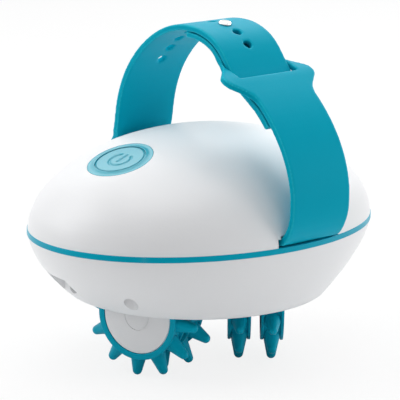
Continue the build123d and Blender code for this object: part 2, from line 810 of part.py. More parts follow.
def carousel_body():
    """Turntable drum with three roller pockets, partitions and axle bosses."""
    drum = Pos(TURN_X) * rod(TURN_RADIUS, -TURN_BOTTOM, -TURN_TOP)
    core = Pos(TURN_X) * rod(TURN_RADIUS - TURN_WALL, TURN_WALL - TURN_BOTTOM, 0)
    hub = Pos(TURN_X) * rod(HUB_RADIUS, -HUB_DROP, -TURN_TOP)
    walls = Part()
    body = drum
    for angle in PAIR_ANGLES:
        place = Pos(TURN_X, 0, -2 * AXLE_DROP) * Rot(0, 0, angle)
        body -= place * wheel_pocket()
        walls += place * offset(wheel_pocket(), TURN_WALL)
    body = body - (core - walls - hub) + hub
    middle = (INNER_WHEEL_REACH + OUTER_WHEEL_REACH) / 2
    room = OUTER_WHEEL_REACH - INNER_WHEEL_REACH - WHEEL_WIDTH - 2 * SLIDE_GAP
    for angle in PAIR_ANGLES:
        wall = Pos(middle) * Box(PARTITION_WALL, 2 * POCKET_HALF_WIDTH + 1, 2 * AXLE_DROP)
        boss = Pos(middle) * Rot(0, 90, 0) * Cylinder(AXLE_BOSS_RADIUS, room)
        body += (radial(angle) * wall) & drum
        body += radial(angle) * boss
    bore_end = TURN_RADIUS + CUT_REACH
    for angle in PAIR_ANGLES:
        bore = rod(AXLE_RADIUS + SHAFT_GAP, AXLE_INNER_END - END_ROOM, bore_end)
        body -= radial(angle) * Rot(0, 90, 0) * bore
    body -= Pos(TURN_X) * rod(SPINDLE_RADIUS + SHAFT_GAP, -TURN_TOP - SPINDLE_SOCKET, 0)
    body -= Pos(TURN_X) * rod(SCREW_RADIUS + SHAFT_GAP, -HUB_DROP - 1, 0)
    for spot in lid_screw_spots():
        body += (spot * rod(COVER_POST_RADIUS, -TURN_BOTTOM, -TURN_TOP)) & drum
    for spot in lid_screw_spots():
        body -= spot * rod(SCREW_RADIUS + SHAFT_GAP, -TURN_TOP - 1.5 * SCREW_BITE, 0)
    return band() * body


def lid_screw_spots():
    """Places of the lid's screws, between the roller pockets."""
    turn = 180 / len(PAIR_ANGLES)
    return [
        Pos(TURN_X) * Rot(0, 0, angle + turn) * Pos(LID_SCREW_REACH) for angle in PAIR_ANGLES
    ]


def carousel_cover():
    """Lid of the turntable."""
    lid = Pos(TURN_X) * rod(TURN_RADIUS, -TURN_TOP, -TURN_TOP + TURN_LID)
    lid -= Pos(TURN_X) * rod(SPINDLE_RADIUS + SHAFT_GAP, -CUT_REACH, CUT_REACH)
    for spot in lid_screw_spots():
        lid -= spot * rod(SCREW_RADIUS + SEAT_GAP, -CUT_REACH, CUT_REACH)
        lid -= spot * rod(SCREW_HEAD_RADIUS + SEAT_GAP, LID_SCREW_SEAT - TURN_TOP, CUT_REACH)
    return band() * lid


def lid_screws():
    """Countersunk screws of the turntable's lid."""
    head_height = TURN_LID - LID_SCREW_SEAT - SEAT_GAP
    one = rod(SCREW_HEAD_RADIUS, 0, head_height) + rod(SCREW_RADIUS, -SCREW_BITE, 0)
    seat = LID_SCREW_SEAT - TURN_TOP
    return band() * grouped([spot * Pos(0, 0, seat) * one for spot in lid_screw_spots()])


def hub_cover():
    """Disc that closes the hub from below."""
    disc = Pos(TURN_X) * rod(HUB_RADIUS, HUB_COVER_Z, -HUB_DROP)
    disc = fillet(disc.edges().sort_by(Axis.Z)[0], HUB_COVER_THICKNESS * 0.5)
    disc -= Pos(TURN_X) * rod(SCREW_RADIUS + SEAT_GAP, HUB_COVER_Z - 1, 0)
    return band() * disc


def hub_screw():
    """Screw through the hub cover into the spindle."""
    length = HUB_DROP - TURN_TOP - SPINDLE_SOCKET + HUB_COVER_THICKNESS + SCREW_BITE
    return band(TURN_X, 0, HUB_COVER_Z) * screw(length)


def spindle():
    """Steel shaft from the hub up through the gearbox."""
    bottom = -TURN_TOP - SPINDLE_SOCKET
    top = COVER_Z + COVER_THICKNESS
    shaft = rod(SPINDLE_RADIUS, bottom, top)
    shaft -= rod(SCREW_RADIUS + SHAFT_GAP, bottom - 1, bottom + SCREW_BITE + END_ROOM)
    return band(TURN_X) * shaft


def axle(angle):
    """Steel axle of one roller pair, with its clip groove."""
    groove = clip_reach()
    end = groove + CLIP_THICKNESS + AXLE_TAIL
    shaft = rod(AXLE_RADIUS, AXLE_INNER_END, end)
    shaft -= tube(
        AXLE_RADIUS + 1,
        AXLE_RADIUS - CLIP_GROOVE_DEPTH,
        groove - SHAFT_GAP,
        groove + CLIP_THICKNESS + SHAFT_GAP,
    )
    return band() * radial(angle) * Rot(0, 90, 0) * shaft


def clip_reach():
    """Distance of the retaining clip's inner face from the turntable's axis."""
    return OUTER_WHEEL_REACH + hub_end() - 2 * CLIP_THICKNESS - AXLE_TAIL


def hub_end():
    """Half width of a roller's hub, up to the cap's inner face."""
    return WHEEL_WIDTH / 2 - CAP_SETBACK - CAP_THICKNESS


def axle_clips():
    """Open rings that keep the rollers on their axles."""
    ring = tube(CLIP_RADIUS, AXLE_RADIUS - CLIP_GROOVE_DEPTH + SHAFT_GAP, 0, CLIP_THICKNESS)
    mouth = Box(
        CLIP_RADIUS, CLIP_MOUTH, CUT_REACH, align=(Align.MIN, Align.CENTER, Align.CENTER)
    )
    clip = Rot(0, 90, 0) * Pos(0, 0, clip_reach()) * (ring - mouth)
    return band() * grouped([radial(angle) * clip for angle in PAIR_ANGLES])


# Rollers


def spike():
    """One blunt conical spike with a round tip, pointing along X."""
    root = DRUM_RADIUS - SPIKE_SINK
    ball_centre = SPIKE_REACH - SPIKE_TIP_RADIUS
    slope = math.asin((SPIKE_BASE_RADIUS - SPIKE_TIP_RADIUS) / (ball_centre - root))
    touch_x = ball_centre + SPIKE_TIP_RADIUS * math.sin(slope)
    touch_y = SPIKE_TIP_RADIUS * math.cos(slope)
    middle = (math.pi / 2 + slope) / 2
    arc_x = ball_centre + SPIKE_TIP_RADIUS * math.cos(middle)
    arc_y = SPIKE_TIP_RADIUS * math.sin(middle)
    side = Polyline((root, 0), (root, SPIKE_BASE_RADIUS), (touch_x, touch_y))
    tip = ThreePointArc((touch_x, touch_y), (arc_x, arc_y), (SPIKE_REACH, 0))
    axis_line = Line((SPIKE_REACH, 0), (root, 0))
    return revolve(make_face([side, tip, axis_line]), Axis.X)


def wheel(angle, reach, phase, cap_side):
    """Spiked roller on its axle: two flanges, spikes between them, a hub."""
    half = WHEEL_WIDTH / 2
    body = rod(FLANGE_RADIUS, -half, half)
    body -= tube(FLANGE_RADIUS + 1, DRUM_RADIUS, FLANGE_WIDTH - half, half - FLANGE_WIDTH)
    pocket = tube(WHEEL_POCKET_RADIUS, WHEEL_HUB_RADIUS, half - WHEEL_POCKET_DEPTH, half + 1)
    body -= pocket
    body -= mirror(pocket, Plane.XY)
    for number in range(SPIKE_COUNT):
        turn = 360 * number / SPIKE_COUNT + phase
        body += Rot(0, 0, turn) * spike()
    body -= rod(AXLE_RADIUS + SHAFT_GAP, -half - 1, half + 1)
    if cap_side:
        body -= rod(WHEEL_HUB_RADIUS + 1, hub_end(), half + 1)
        seat = clip_reach() - SHAFT_GAP - OUTER_WHEEL_REACH
        body -= rod(CLIP_RADIUS + SLIDE_GAP, seat, half + 1)
    place = radial(angle) * Pos(reach) * Rot(0, 90, 0)
    return band() * place * body


def wheel_cap(angle):
    """Disc that closes the outer roller, with a ring-shaped groove."""
    half = WHEEL_WIDTH / 2
    low = half - CAP_SETBACK - CAP_THICKNESS
    high = half - CAP_SETBACK
    disc = rod(WHEEL_POCKET_RADIUS - SEAT_GAP, low, high)
    disc = chamfer(disc.edges().sort_by(Axis.Z)[-1], CAP_SETBACK)
    disc -= tube(
        CAP_RING_RADIUS,
        CAP_RING_RADIUS - CAP_RING_WIDTH,
        high - CAP_RING_DEPTH,
        high + 1,
    )
    return band() * radial(angle) * Pos(OUTER_WHEEL_REACH) * Rot(0, 90, 0) * disc


# Gears


def gear_profile(teeth):
    """Outline of a spur gear with involute flanks."""
    pitch = MODULE * teeth / 2
    base = pitch * math.cos(math.radians(PRESSURE_ANGLE))
    outer = pitch + ADDENDUM * MODULE
    root = pitch - DEDENDUM * MODULE
    start = max(base, root)
    pitch_roll = math.tan(math.radians(PRESSURE_ANGLE)) - math.radians(PRESSURE_ANGLE)
    half_tooth = math.pi / (2 * teeth) - BACKLASH / (4 * pitch)
    flank = []
    for step in range(FLANK_STEPS + 1):
        radius = start + (outer - start) * step / FLANK_STEPS
        roll = math.sqrt(max((radius / base) ** 2 - 1, 0))
        angle = half_tooth + pitch_roll - (roll - math.atan(roll))
        flank.append((radius, angle))
    if root < base:
        flank.insert(0, (root, flank[0][1]))
    points = []
    for number in range(teeth):
        middle = 2 * math.pi * number / teeth
        points += [on_circle(radius, middle - angle) for radius, angle in flank]
        points += [on_circle(radius, middle + angle) for radius, angle in reversed(flank)]
    return make_face(Polyline(*points, close=True))


def on_circle(radius, angle):
    """Point on a circle round the origin."""
    return (radius * math.cos(angle), radius * math.sin(angle))


def gear(teeth, bottom, face, bore):
    """Spur gear with a round bore, tooth 0 pointing along X."""
    body = Pos(0, 0, bottom) * extrude(gear_profile(teeth), face)
    return body - rod(bore, bottom - 1, bottom + face + 1)


def centre_distance(first, second):
    """Distance between the axes of two meshed gears."""
    return MODULE * (first + second) / 2 + CENTRE_SLACK


def idler_spot():
    """Place of the idler's axis, beside the spindle."""
    reach = centre_distance(OUTPUT_TEETH, IDLER_SMALL_TEETH)
    x, y = on_circle(reach, math.radians(IDLER_ANGLE))
    return TURN_X + x, y


def motor_spot():
    """Place of the motor's axis, beside the idler."""
    reach = centre_distance(IDLER_LARGE_TEETH, PINION_TEETH)
    x, y = on_circle(reach, math.radians(MOTOR_ANGLE))
    return idler_spot()[0] + x, idler_spot()[1] + y


def output_gear():
    """Gear on the spindle, a tooth pointing at the idler."""
    whole = gear(OUTPUT_TEETH, OUTPUT_Z, OUTPUT_FACE, SPINDLE_RADIUS + SHAFT_GAP)
    lightening = tube(
        OUTPUT_TEETH * MODULE / 2 - GEAR_RIM,
        SPINDLE_RADIUS + GEAR_HUB_WALL,
        OUTPUT_Z + GEAR_WEB,
        OUTPUT_Z + CUT_REACH,
    )
    return band(TURN_X) * Rot(0, 0, IDLER_ANGLE) * (whole - lightening)


def idler_gear():
    """Compound gear: its small teeth drive the output gear."""
    bore = IDLER_PIN_RADIUS + SHAFT_GAP
    small_turn = IDLER_ANGLE + 180 + 180 / IDLER_SMALL_TEETH
    small_height = OUTPUT_FACE + GEAR_GAP
    small = Rot(0, 0, small_turn) * gear(IDLER_SMALL_TEETH, OUTPUT_Z, small_height, bore)
    large = gear(IDLER_LARGE_TEETH, LARGE_GEAR_Z, MOTOR_GEAR_FACE, bore)
    return band(*idler_spot()) * (small + Rot(0, 0, MOTOR_ANGLE) * large)


def pinion():
    """Small gear on the motor's shaft, a gap facing the idler."""
    turn = MOTOR_ANGLE + 180 + 180 / PINION_TEETH
    teeth = gear(PINION_TEETH, LARGE_GEAR_Z, MOTOR_GEAR_FACE, MOTOR_SHAFT_RADIUS + SHAFT_GAP)
    return band(*motor_spot()) * Rot(0, 0, turn) * teeth


def motor_shaft():
    """Turning shaft of the motor, down into the pinion."""
    top = COVER_Z + COVER_THICKNESS + MOTOR_SHAFT_DEPTH
    return band(*motor_spot()) * rod(MOTOR_SHAFT_RADIUS, LARGE_GEAR_Z, top)


def motor():
    """Motor can with its front boss, on the gearbox cover."""
    bottom = COVER_Z + COVER_THICKNESS
    can = rod(MOTOR_RADIUS, bottom, bottom + MOTOR_LENGTH)
    can = fillet(can.edges().sort_by(Axis.Z)[-1], MOTOR_EDGE)
    boss = rod(MOTOR_BOSS_RADIUS, bottom - MOTOR_BOSS_HEIGHT, bottom)
    hole_top = bottom + MOTOR_SHAFT_DEPTH + END_ROOM
    shaft_hole = rod(MOTOR_SHAFT_RADIUS + SHAFT_GAP, 0, hole_top)
    can = can + boss - shaft_hole
    for side in (-1, 1):
        screw_hole = rod(SCREW_RADIUS + SHAFT_GAP, bottom - 1, bottom + MOTOR_SCREW_HOLE)
        can -= Pos(side * MOTOR_SCREW_SPAN / 2) * screw_hole
    return band(*motor_spot()) * can


def motor_screws():
    """Two screws that hold the motor to the gearbox cover."""
    head = rod(MOTOR_HEAD_RADIUS, -MOTOR_HEAD_PROUD, MOTOR_HEAD_SUNK)
    one = head + rod(SCREW_RADIUS, MOTOR_HEAD_SUNK, MOTOR_SCREW_END)
    pair = [Pos(side * MOTOR_SCREW_SPAN / 2, 0, COVER_Z) * one for side in (-1, 1)]
    return band(*motor_spot()) * grouped(pair)


def idler_pin():
    """Fixed steel pin of the idler."""
    top = COVER_Z + IDLER_PIN_GRIP
    return band(*idler_spot()) * rod(IDLER_PIN_RADIUS, CHASSIS_BOTTOM, top)


def bush(bottom, height, flange_up):
    """Flanged plain bearing of the spindle."""
    outer = SPINDLE_RADIUS + BUSH_WALL
    sleeve = rod(outer, bottom, bottom + height)
    flange = rod(outer + BUSH_FLANGE, 0, BUSH_FLANGE_THICKNESS)
    flange_z = bottom + height if flange_up else bottom - BUSH_FLANGE_THICKNESS
    whole = sleeve + Pos(0, 0, flange_z) * flange
    bore = rod(SPINDLE_RADIUS + SHAFT_GAP, bottom - CUT_REACH, bottom + CUT_REACH)
    return band(TURN_X) * (whole - bore)


def chassis():
    """Plate that carries the gears, on four posts of the lower shell."""
    plate = oval(CHASSIS_HALF_LENGTH, CHASSIS_HALF_WIDTH, CHASSIS_BOTTOM, CHASSIS_TOP)
    for spot in COVER_POSTS:
        plate += Pos(*spot) * rod(COVER_POST_RADIUS, CHASSIS_BOTTOM, COVER_Z)
    for spot in COVER_POSTS:
        plate -= Pos(*spot) * rod(SCREW_RADIUS + SHAFT_GAP, COVER_Z - SCREW_BITE, COVER_Z + 1)
    for spot in CHASSIS_POSTS:
        plate -= Pos(*spot) * rod(SCREW_RADIUS + SEAT_GAP, -CUT_REACH, CUT_REACH)
    for spot in SHELL_SCREW_SPOTS:
        plate -= Pos(*spot) * rod(SHELL_BOSS_RADIUS + SLIDE_GAP, -CUT_REACH, CUT_REACH)
    for spot in anchor_spots(-1) + anchor_spots(1):
        plate -= Pos(*spot) * rod(SCREW_RADIUS + SHAFT_GAP, -CUT_REACH, CUT_REACH)
    bush_seat = SPINDLE_RADIUS + BUSH_WALL + SHAFT_GAP
    plate -= Pos(TURN_X) * rod(bush_seat, -CUT_REACH, CUT_REACH)
    pin_hole = rod(IDLER_PIN_RADIUS + SHAFT_GAP, -CUT_REACH, CUT_REACH)
    plate -= Pos(*idler_spot()) * pin_hole
    return band() * plate


def gearbox_cover():
    """Upper gear plate with the motor's seat."""
    spots = [*COVER_POSTS, motor_spot()]
    radii = [COVER_POST_RADIUS + 1] * len(COVER_POSTS) + [MOTOR_RADIUS + 1]
    circles = [Pos(*spot) * Circle(radius) for spot, radius in zip(spots, radii)]
    outline = make_hull([edge for circle in circles for edge in circle.edges()])
    plate = Pos(0, 0, COVER_Z) * extrude(outline, COVER_THICKNESS)
    top = COVER_Z + CUT_REACH
    for spot in COVER_POSTS:
        plate -= Pos(*spot) * rod(SCREW_RADIUS + SEAT_GAP, 0, top)
    plate -= Pos(TURN_X) * rod(SPINDLE_RADIUS + BUSH_WALL + SHAFT_GAP, 0, top)
    plate -= Pos(*motor_spot()) * rod(MOTOR_BOSS_RADIUS + SEAT_GAP, 0, top)
    pin_top = COVER_Z + IDLER_PIN_GRIP + SEAT_GAP
    plate -= Pos(*idler_spot()) * rod(IDLER_PIN_RADIUS + SHAFT_GAP, 0, pin_top)
    head_top = COVER_Z + MOTOR_HEAD_SUNK + SEAT_GAP
    for side in (-1, 1):
        spot = Pos(*motor_spot()) * Pos(side * MOTOR_SCREW_SPAN / 2)
        plate -= spot * rod(SCREW_RADIUS + SEAT_GAP, 0, top)
        plate -= spot * rod(MOTOR_HEAD_RADIUS + SEAT_GAP, 0, head_top)
    return band() * plate


def downward_screws(spots, seat):
    """Screws put in from above, with their heads on a plate."""
    one = Rot(180, 0, 0) * screw(COVER_THICKNESS + SCREW_BITE - END_ROOM)
    return band() * grouped([Pos(*spot, seat) * one for spot in spots])


def anchor_screws():
    """Four screws that pull the clamping bars down on the chassis."""
    seat = SHELL_SEAM + STRAP_SEAT + STRAP_THICKNESS + SEAT_GAP + ANCHOR_THICKNESS
    one = Rot(180, 0, 0) * screw(seat - CHASSIS_BOTTOM)
    spots = anchor_spots(-1) + anchor_spots(1)
    return band() * grouped([Pos(*spot, seat) * one for spot in spots])


def build():
    """Writes every node."""
    os.makedirs("parts", exist_ok=True)
    save("upper_shell", upper_shell())
    save("lower_shell", lower_shell())
    save("rim_band", rim_band())
    save("button_bezel", button_bezel())
    save("power_button", power_button())
    save("buckle_strap", buckle_strap())
    save("hole_strap", hole_strap())
    save("strap_stud", strap_stud())
    save("strap_anchor_near", strap_anchor(-1))
    save("strap_anchor_far", strap_anchor(1))
    save("anchor_screws", anchor_screws())
    save("circuit_board", circuit_board())
    save("tactile_switch", tactile_switch())
    save("board_screws", board_screws())
    save("dc_socket", dc_socket())
    save("shell_screws", shell_screws())
    save("carousel_body", carousel_body())
    save("carousel_cover", carousel_cover())
    save("cover_screws", lid_screws())
    save("hub_cover", hub_cover())
    save("hub_screw", hub_screw())
    save("spindle", spindle())
    save("axle_clips", axle_clips())
    for number, (angle, phases) in enumerate(zip(PAIR_ANGLES, SPIKE_PHASES), start=1):
        inner_phase, outer_phase = phases
        save(f"axle_{number}", axle(angle))
        save(f"wheel_{number}_inner", wheel(angle, INNER_WHEEL_REACH, inner_phase, False))
        save(f"wheel_{number}_outer", wheel(angle, OUTER_WHEEL_REACH, outer_phase, True))
        save(f"wheel_cap_{number}", wheel_cap(angle))
    save("output_gear", output_gear())
    save("idler_gear", idler_gear())
    save("idler_pin", idler_pin())
    save("pinion", pinion())
    save("motor_shaft", motor_shaft())
    save("motor", motor())
    save("motor_screws", motor_screws())
    save("lower_bush", bush(CHASSIS_BOTTOM, CHASSIS_THICKNESS, True))
    save("upper_bush", bush(COVER_Z, COVER_THICKNESS, False))
    save("chassis", chassis())
    save("chassis_screws", downward_screws(CHASSIS_POSTS, CHASSIS_TOP))
    save("gearbox_cover", gearbox_cover())
    save("gearbox_screws", downward_screws(COVER_POSTS, COVER_Z + COVER_THICKNESS))


build()
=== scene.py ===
"""Finished surfaces, lights and camera of a hand-held body massager with spiked rollers."""

import json
import math

import bmesh
import bpy
from bpy.props import FloatProperty, FloatVectorProperty, IntProperty, PointerProperty
from mathutils import Matrix, Vector


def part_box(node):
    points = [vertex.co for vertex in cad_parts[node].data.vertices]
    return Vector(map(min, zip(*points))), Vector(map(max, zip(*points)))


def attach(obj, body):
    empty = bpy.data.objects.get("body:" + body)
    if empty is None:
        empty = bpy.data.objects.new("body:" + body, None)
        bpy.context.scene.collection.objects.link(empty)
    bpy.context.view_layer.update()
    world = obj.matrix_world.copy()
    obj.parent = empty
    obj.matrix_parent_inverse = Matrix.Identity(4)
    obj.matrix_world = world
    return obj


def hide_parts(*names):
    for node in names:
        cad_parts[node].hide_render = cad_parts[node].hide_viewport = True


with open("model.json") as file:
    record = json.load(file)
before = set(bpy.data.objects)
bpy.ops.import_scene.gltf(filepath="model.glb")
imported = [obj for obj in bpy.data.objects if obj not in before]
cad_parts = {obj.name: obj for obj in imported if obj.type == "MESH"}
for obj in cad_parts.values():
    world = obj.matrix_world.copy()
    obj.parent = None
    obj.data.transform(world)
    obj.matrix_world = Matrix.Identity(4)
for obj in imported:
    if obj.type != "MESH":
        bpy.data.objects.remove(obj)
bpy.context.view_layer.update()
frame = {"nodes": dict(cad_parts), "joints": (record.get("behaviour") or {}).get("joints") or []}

bl_info = {
    "name": "Body massager",
    "version": (1, 0, 0),
    "blender": (4, 5, 0),
    "location": "3D View > Sidebar > Massager",
    "description": "Finishes a hand-held massager: shells, strap, button, rollers and stage",
    "category": "Object",
}

MM = 0.001
# Points nearer to each other than this are joined.
WELD = 0.01 * MM
BAND_LOW, BAND_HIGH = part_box("rim_band")
BAND_Z = (BAND_LOW.z + BAND_HIGH.z) / 2

QUARTER_TURN = math.radians(90)
# Edges between faces that meet at more than this angle stay sharp.
SHARP_ANGLE = math.radians(35)

# Steps along a rounded corner, round a roller, round a spike and over its tip.
CORNER_STEPS = 3
ROLLER_STEPS = 96
SPIKE_STEPS = 28
TIP_STEPS = 8
# Steps round the button and its ring, from the face's middle to its edge, and across the ring.
BUTTON_STEPS = 144
FACE_STEPS = 56
RING_STEPS = 10

# Largest share of an edge that the rounding at one end may take up.
CORNER_SHARE = 0.45
# Share of a lip's width over which its edge bends down.
LIP_SHARE = 0.3

# Roller pairs, and the angle of the first spike on each pair's two rollers, in degrees.
PAIRS = (1, 2, 3)
SPIKE_PHASES = {"inner": (5.3, -10.0, 5.3), "outer": (-5.2, -10.0, -5.2)}
# Flared foot of a spike in millimetres: out from the base's radius, up from the drum.
SPIKE_FOOT = ((0.6, -0.8), (0.25, 0.25), (-0.1, 0.9))

# Cells per metre in the pattern of slow changes of tone.
TONE_SCALE = 28
# How far towards white the edges of a plain colour are lifted, as rubbed wear and as a painted
# highlight.
EDGE_LIFT = 0.25

# Colours without a setting of their own, as red, green, blue and cover.
WHITE = (1, 1, 1, 1)
PAPER = (0.9, 0.9, 0.9, 1)
SKY = (0.97, 0.98, 1.0, 1)
POLISHED_STEEL = (0.86, 0.86, 0.87, 1)
GROUND_STEEL = (0.58, 0.59, 0.6, 1)
ZINC = (0.52, 0.53, 0.54, 1)
CAN_STEEL = (0.5, 0.51, 0.52, 1)
BRASS = (0.56, 0.38, 0.16, 1)
NYLON = (0.72, 0.7, 0.62, 1)
DARK_GREY = (0.09, 0.095, 0.1, 1)
SOCKET_GREY = (0.42, 0.43, 0.44, 1)
BOARD_GREEN = (0.01, 0.12, 0.05, 1)
SWITCH_BLACK = (0.015, 0.015, 0.017, 1)

# Camera's sensor in millimetres, its nearest distance in metres, and squares along the floor.
SENSOR_WIDTH = 36
NEAR_CLIP = 0.05
FLOOR_SQUARES = 8
# Name, degrees round the object from the camera towards its right, degrees up, watts.
LAMPS = (
    ("Left", 270, 35, 5.8),
    ("Back", 200, 50, 3.7),
    ("Back right", 150, 35, 5.0),
    ("Right", 90, 8, 5.2),
    ("Top", 0, 85, 5.6),
)


class CasingSizes(bpy.types.PropertyGroup):
    """Sizes of the egg-shaped casing."""

    half_length: FloatProperty(
        name="Half length", description="Half the casing's length", default=80 * MM, unit="LENGTH"
    )
    half_width: FloatProperty(
        name="Half width", description="Half the casing's width", default=60 * MM, unit="LENGTH"
    )
    dome_height: FloatProperty(
        name="Dome height",
        description="Height of the dome above the band's middle",
        default=39.8 * MM,
        unit="LENGTH",
    )


class StrapSizes(bpy.types.PropertyGroup):
    """How the soft strap is rounded."""

    grain: FloatProperty(
        name="Grain", description="Size of the strap's faces", default=0.5 * MM, unit="LENGTH"
    )
    softening: IntProperty(
        name="Softening", description="Rounds of smoothing along the edges", default=9
    )
    bend_start: FloatProperty(
        name="Bend start",
        description="Distance from the middle where the strap's bend starts",
        default=56 * MM,
        unit="LENGTH",
    )
    bend_room: FloatProperty(
        name="Bend room",
        description="Width over which the bend sags more and more",
        default=4 * MM,
        unit="LENGTH",
    )
    bend_height: FloatProperty(
        name="Bend height",
        description="Height of the bend that sags",
        default=7 * MM,
        unit="LENGTH",
    )
    sag: FloatProperty(
        name="Sag", description="How far the bend sags", default=1.4 * MM, unit="LENGTH"
    )
    waist_low: FloatProperty(
        name="Waist start",
        description="Height over the band where the far leg's waist starts",
        default=12 * MM,
        unit="LENGTH",
    )
    waist_height: FloatProperty(
        name="Waist height", description="Height of that waist", default=20.5 * MM, unit="LENGTH"
    )
    waist_draw: FloatProperty(
        name="Waist draw",
        description="How far the waist is drawn in",
        default=3.4 * MM,
        unit="LENGTH",
    )


class RollerSizes(bpy.types.PropertyGroup):
    """Sizes of one spiked roller."""

    spike_count: IntProperty(name="Spikes", description="Spikes on one roller", default=12)
    reach: FloatProperty(
        name="Reach", description="Axle to spike tip", default=26 * MM, unit="LENGTH"
    )
    spike_base: FloatProperty(
        name="Spike base", description="Radius of a spike's base", default=3.4 * MM, unit="LENGTH"
    )
    spike_tip: FloatProperty(
        name="Spike tip", description="Radius of a spike's tip", default=1.95 * MM, unit="LENGTH"
    )
    width: FloatProperty(
        name="Width", description="Width of one roller", default=9.5 * MM, unit="LENGTH"
    )
    flange_radius: FloatProperty(
        name="Flange radius", description="Radius of the flanges", default=18.1 * MM, unit="LENGTH"
    )
    flange_width: FloatProperty(
        name="Flange width", description="Width of one flange", default=1.3 * MM, unit="LENGTH"
    )
    drum_radius: FloatProperty(
        name="Drum radius",
        description="Radius of the drum between the flanges",
        default=16.9 * MM,
        unit="LENGTH",
    )
    pocket_radius: FloatProperty(
        name="Pocket radius",
        description="Outer radius of the hollow in each side",
        default=15.6 * MM,
        unit="LENGTH",
    )
    pocket_depth: FloatProperty(
        name="Pocket depth", description="Depth of that hollow", default=3.4 * MM, unit="LENGTH"
    )
    hub_radius: FloatProperty(
        name="Hub radius", description="Radius of the roller's hub", default=6.4 * MM, unit="LENGTH"
    )
    hub_rise: FloatProperty(
        name="Hub rise",
        description="Height of the hub over the hollow's floor on the side with the cap",
        default=0.4 * MM,
        unit="LENGTH",
    )
    bore_radius: FloatProperty(
        name="Bore radius", description="Radius of the axle's bore", default=2.05 * MM, unit="LENGTH"
    )
    edge_radius: FloatProperty(
        name="Edge radius",
        description="Rounding of the roller's edges",
        default=0.35 * MM,
        unit="LENGTH",
    )


class ButtonSizes(bpy.types.PropertyGroup):
    """Sizes of the power button, the ring round it and its sunk sign."""

    place_x: FloatProperty(
        name="Place", description="Button's place along the casing", default=-46 * MM, unit="LENGTH"
    )
    face_depth: FloatProperty(
        name="Face depth",
        description="Depth of the button's face below the dome",
        default=0.2 * MM,
        unit="LENGTH",
    )
    disc_radius: FloatProperty(
        name="Disc radius", description="Radius of the button", default=9.95 * MM, unit="LENGTH"
    )
    ring_inner: FloatProperty(
        name="Ring inside", description="Inner radius of the ring", default=10.62 * MM, unit="LENGTH"
    )
    ring_outer: FloatProperty(
        name="Ring outside", description="Outer radius of the ring", default=13.8 * MM, unit="LENGTH"
    )
    lip: FloatProperty(
        name="Lip",
        description="Width of the lips along the edges of disc and ring",
        default=0.25 * MM,
        unit="LENGTH",
    )
    dish: FloatProperty(
        name="Dish", description="Depth of the button's dish", default=0.8 * MM, unit="LENGTH"
    )
    ring_dish: FloatProperty(
        name="Ring dish", description="Depth of the ring's dish", default=0.25 * MM, unit="LENGTH"
    )
    top_drop: FloatProperty(
        name="Top drop",
        description="How far the packed top is let down under the finished one",
        default=1.6 * MM,
        unit="LENGTH",
    )
    gap_room: FloatProperty(
        name="Gap room",
        description="Play between the button's shoulder and the ring",
        default=0.15 * MM,
        unit="LENGTH",
    )
    gap_depth: FloatProperty(
        name="Gap depth",
        description="Depth of the narrow gap round the button",
        default=0.3 * MM,
        unit="LENGTH",
    )
    cap_depth: FloatProperty(
        name="Cap depth",
        description="Thickness of the finished top of disc and ring",
        default=2.2 * MM,
        unit="LENGTH",
    )
    sign_radius: FloatProperty(
        name="Sign radius", description="Radius of the sign's ring", default=4.6 * MM, unit="LENGTH"
    )
    sign_gap: FloatProperty(
        name="Sign gap",
        description="Half the angle of the ring's opening",
        default=math.radians(36),
        subtype="ANGLE",
    )
    bar_start: FloatProperty(
        name="Bar start",
        description="Inner end of the sign's bar, as a share of the sign's radius",
        default=-0.3,
    )
    bar_end: FloatProperty(
        name="Bar end",
        description="Outer end of the sign's bar, as a share of the sign's radius",
        default=0.85,
    )
    groove_width: FloatProperty(
        name="Groove width",
        description="Half width of the sign's grooves",
        default=0.9 * MM,
        unit="LENGTH",
    )
    groove_depth: FloatProperty(
        name="Groove depth",
        description="Depth of the sign's grooves",
        default=0.5 * MM,
        unit="LENGTH",
    )


class FinishColours(bpy.types.PropertyGroup):
    """Colours of the moulded parts."""

    shell: FloatVectorProperty(
        name="Shell",
        description="White of the casing",
        default=(0.85, 0.855, 0.865, 1),
        subtype="COLOR",
        size=4,
    )
    teal: FloatVectorProperty(
        name="Strap",
        description="Teal of the strap",
        default=(0.0, 0.36, 0.50, 1),
        subtype="COLOR",
        size=4,
    )
    roller: FloatVectorProperty(
        name="Rollers",
        description="Teal of the rollers and the band",
        default=(0.0, 0.355, 0.50, 1),
        subtype="COLOR",
        size=4,
    )
    button: FloatVectorProperty(
        name="Button",
        description="Light teal of the button and its ring",
        default=(0.06, 0.42, 0.53, 1),
        subtype="COLOR",
        size=4,
    )
    # Painted highlight: lighter teal where the strap's edges catch the light.
    rim: FloatVectorProperty(
        name="Rims",
        description="Lighter teal along the strap's edges",
        default=(0.03, 0.56, 0.68, 1),
        subtype="COLOR",
        size=4,
    )
    shine: FloatVectorProperty(
        name="Shine",
        description="Colour of the light that the teal parts mirror",
        default=(0.1, 0.7, 0.85, 1),
        subtype="COLOR",
        size=4,
    )


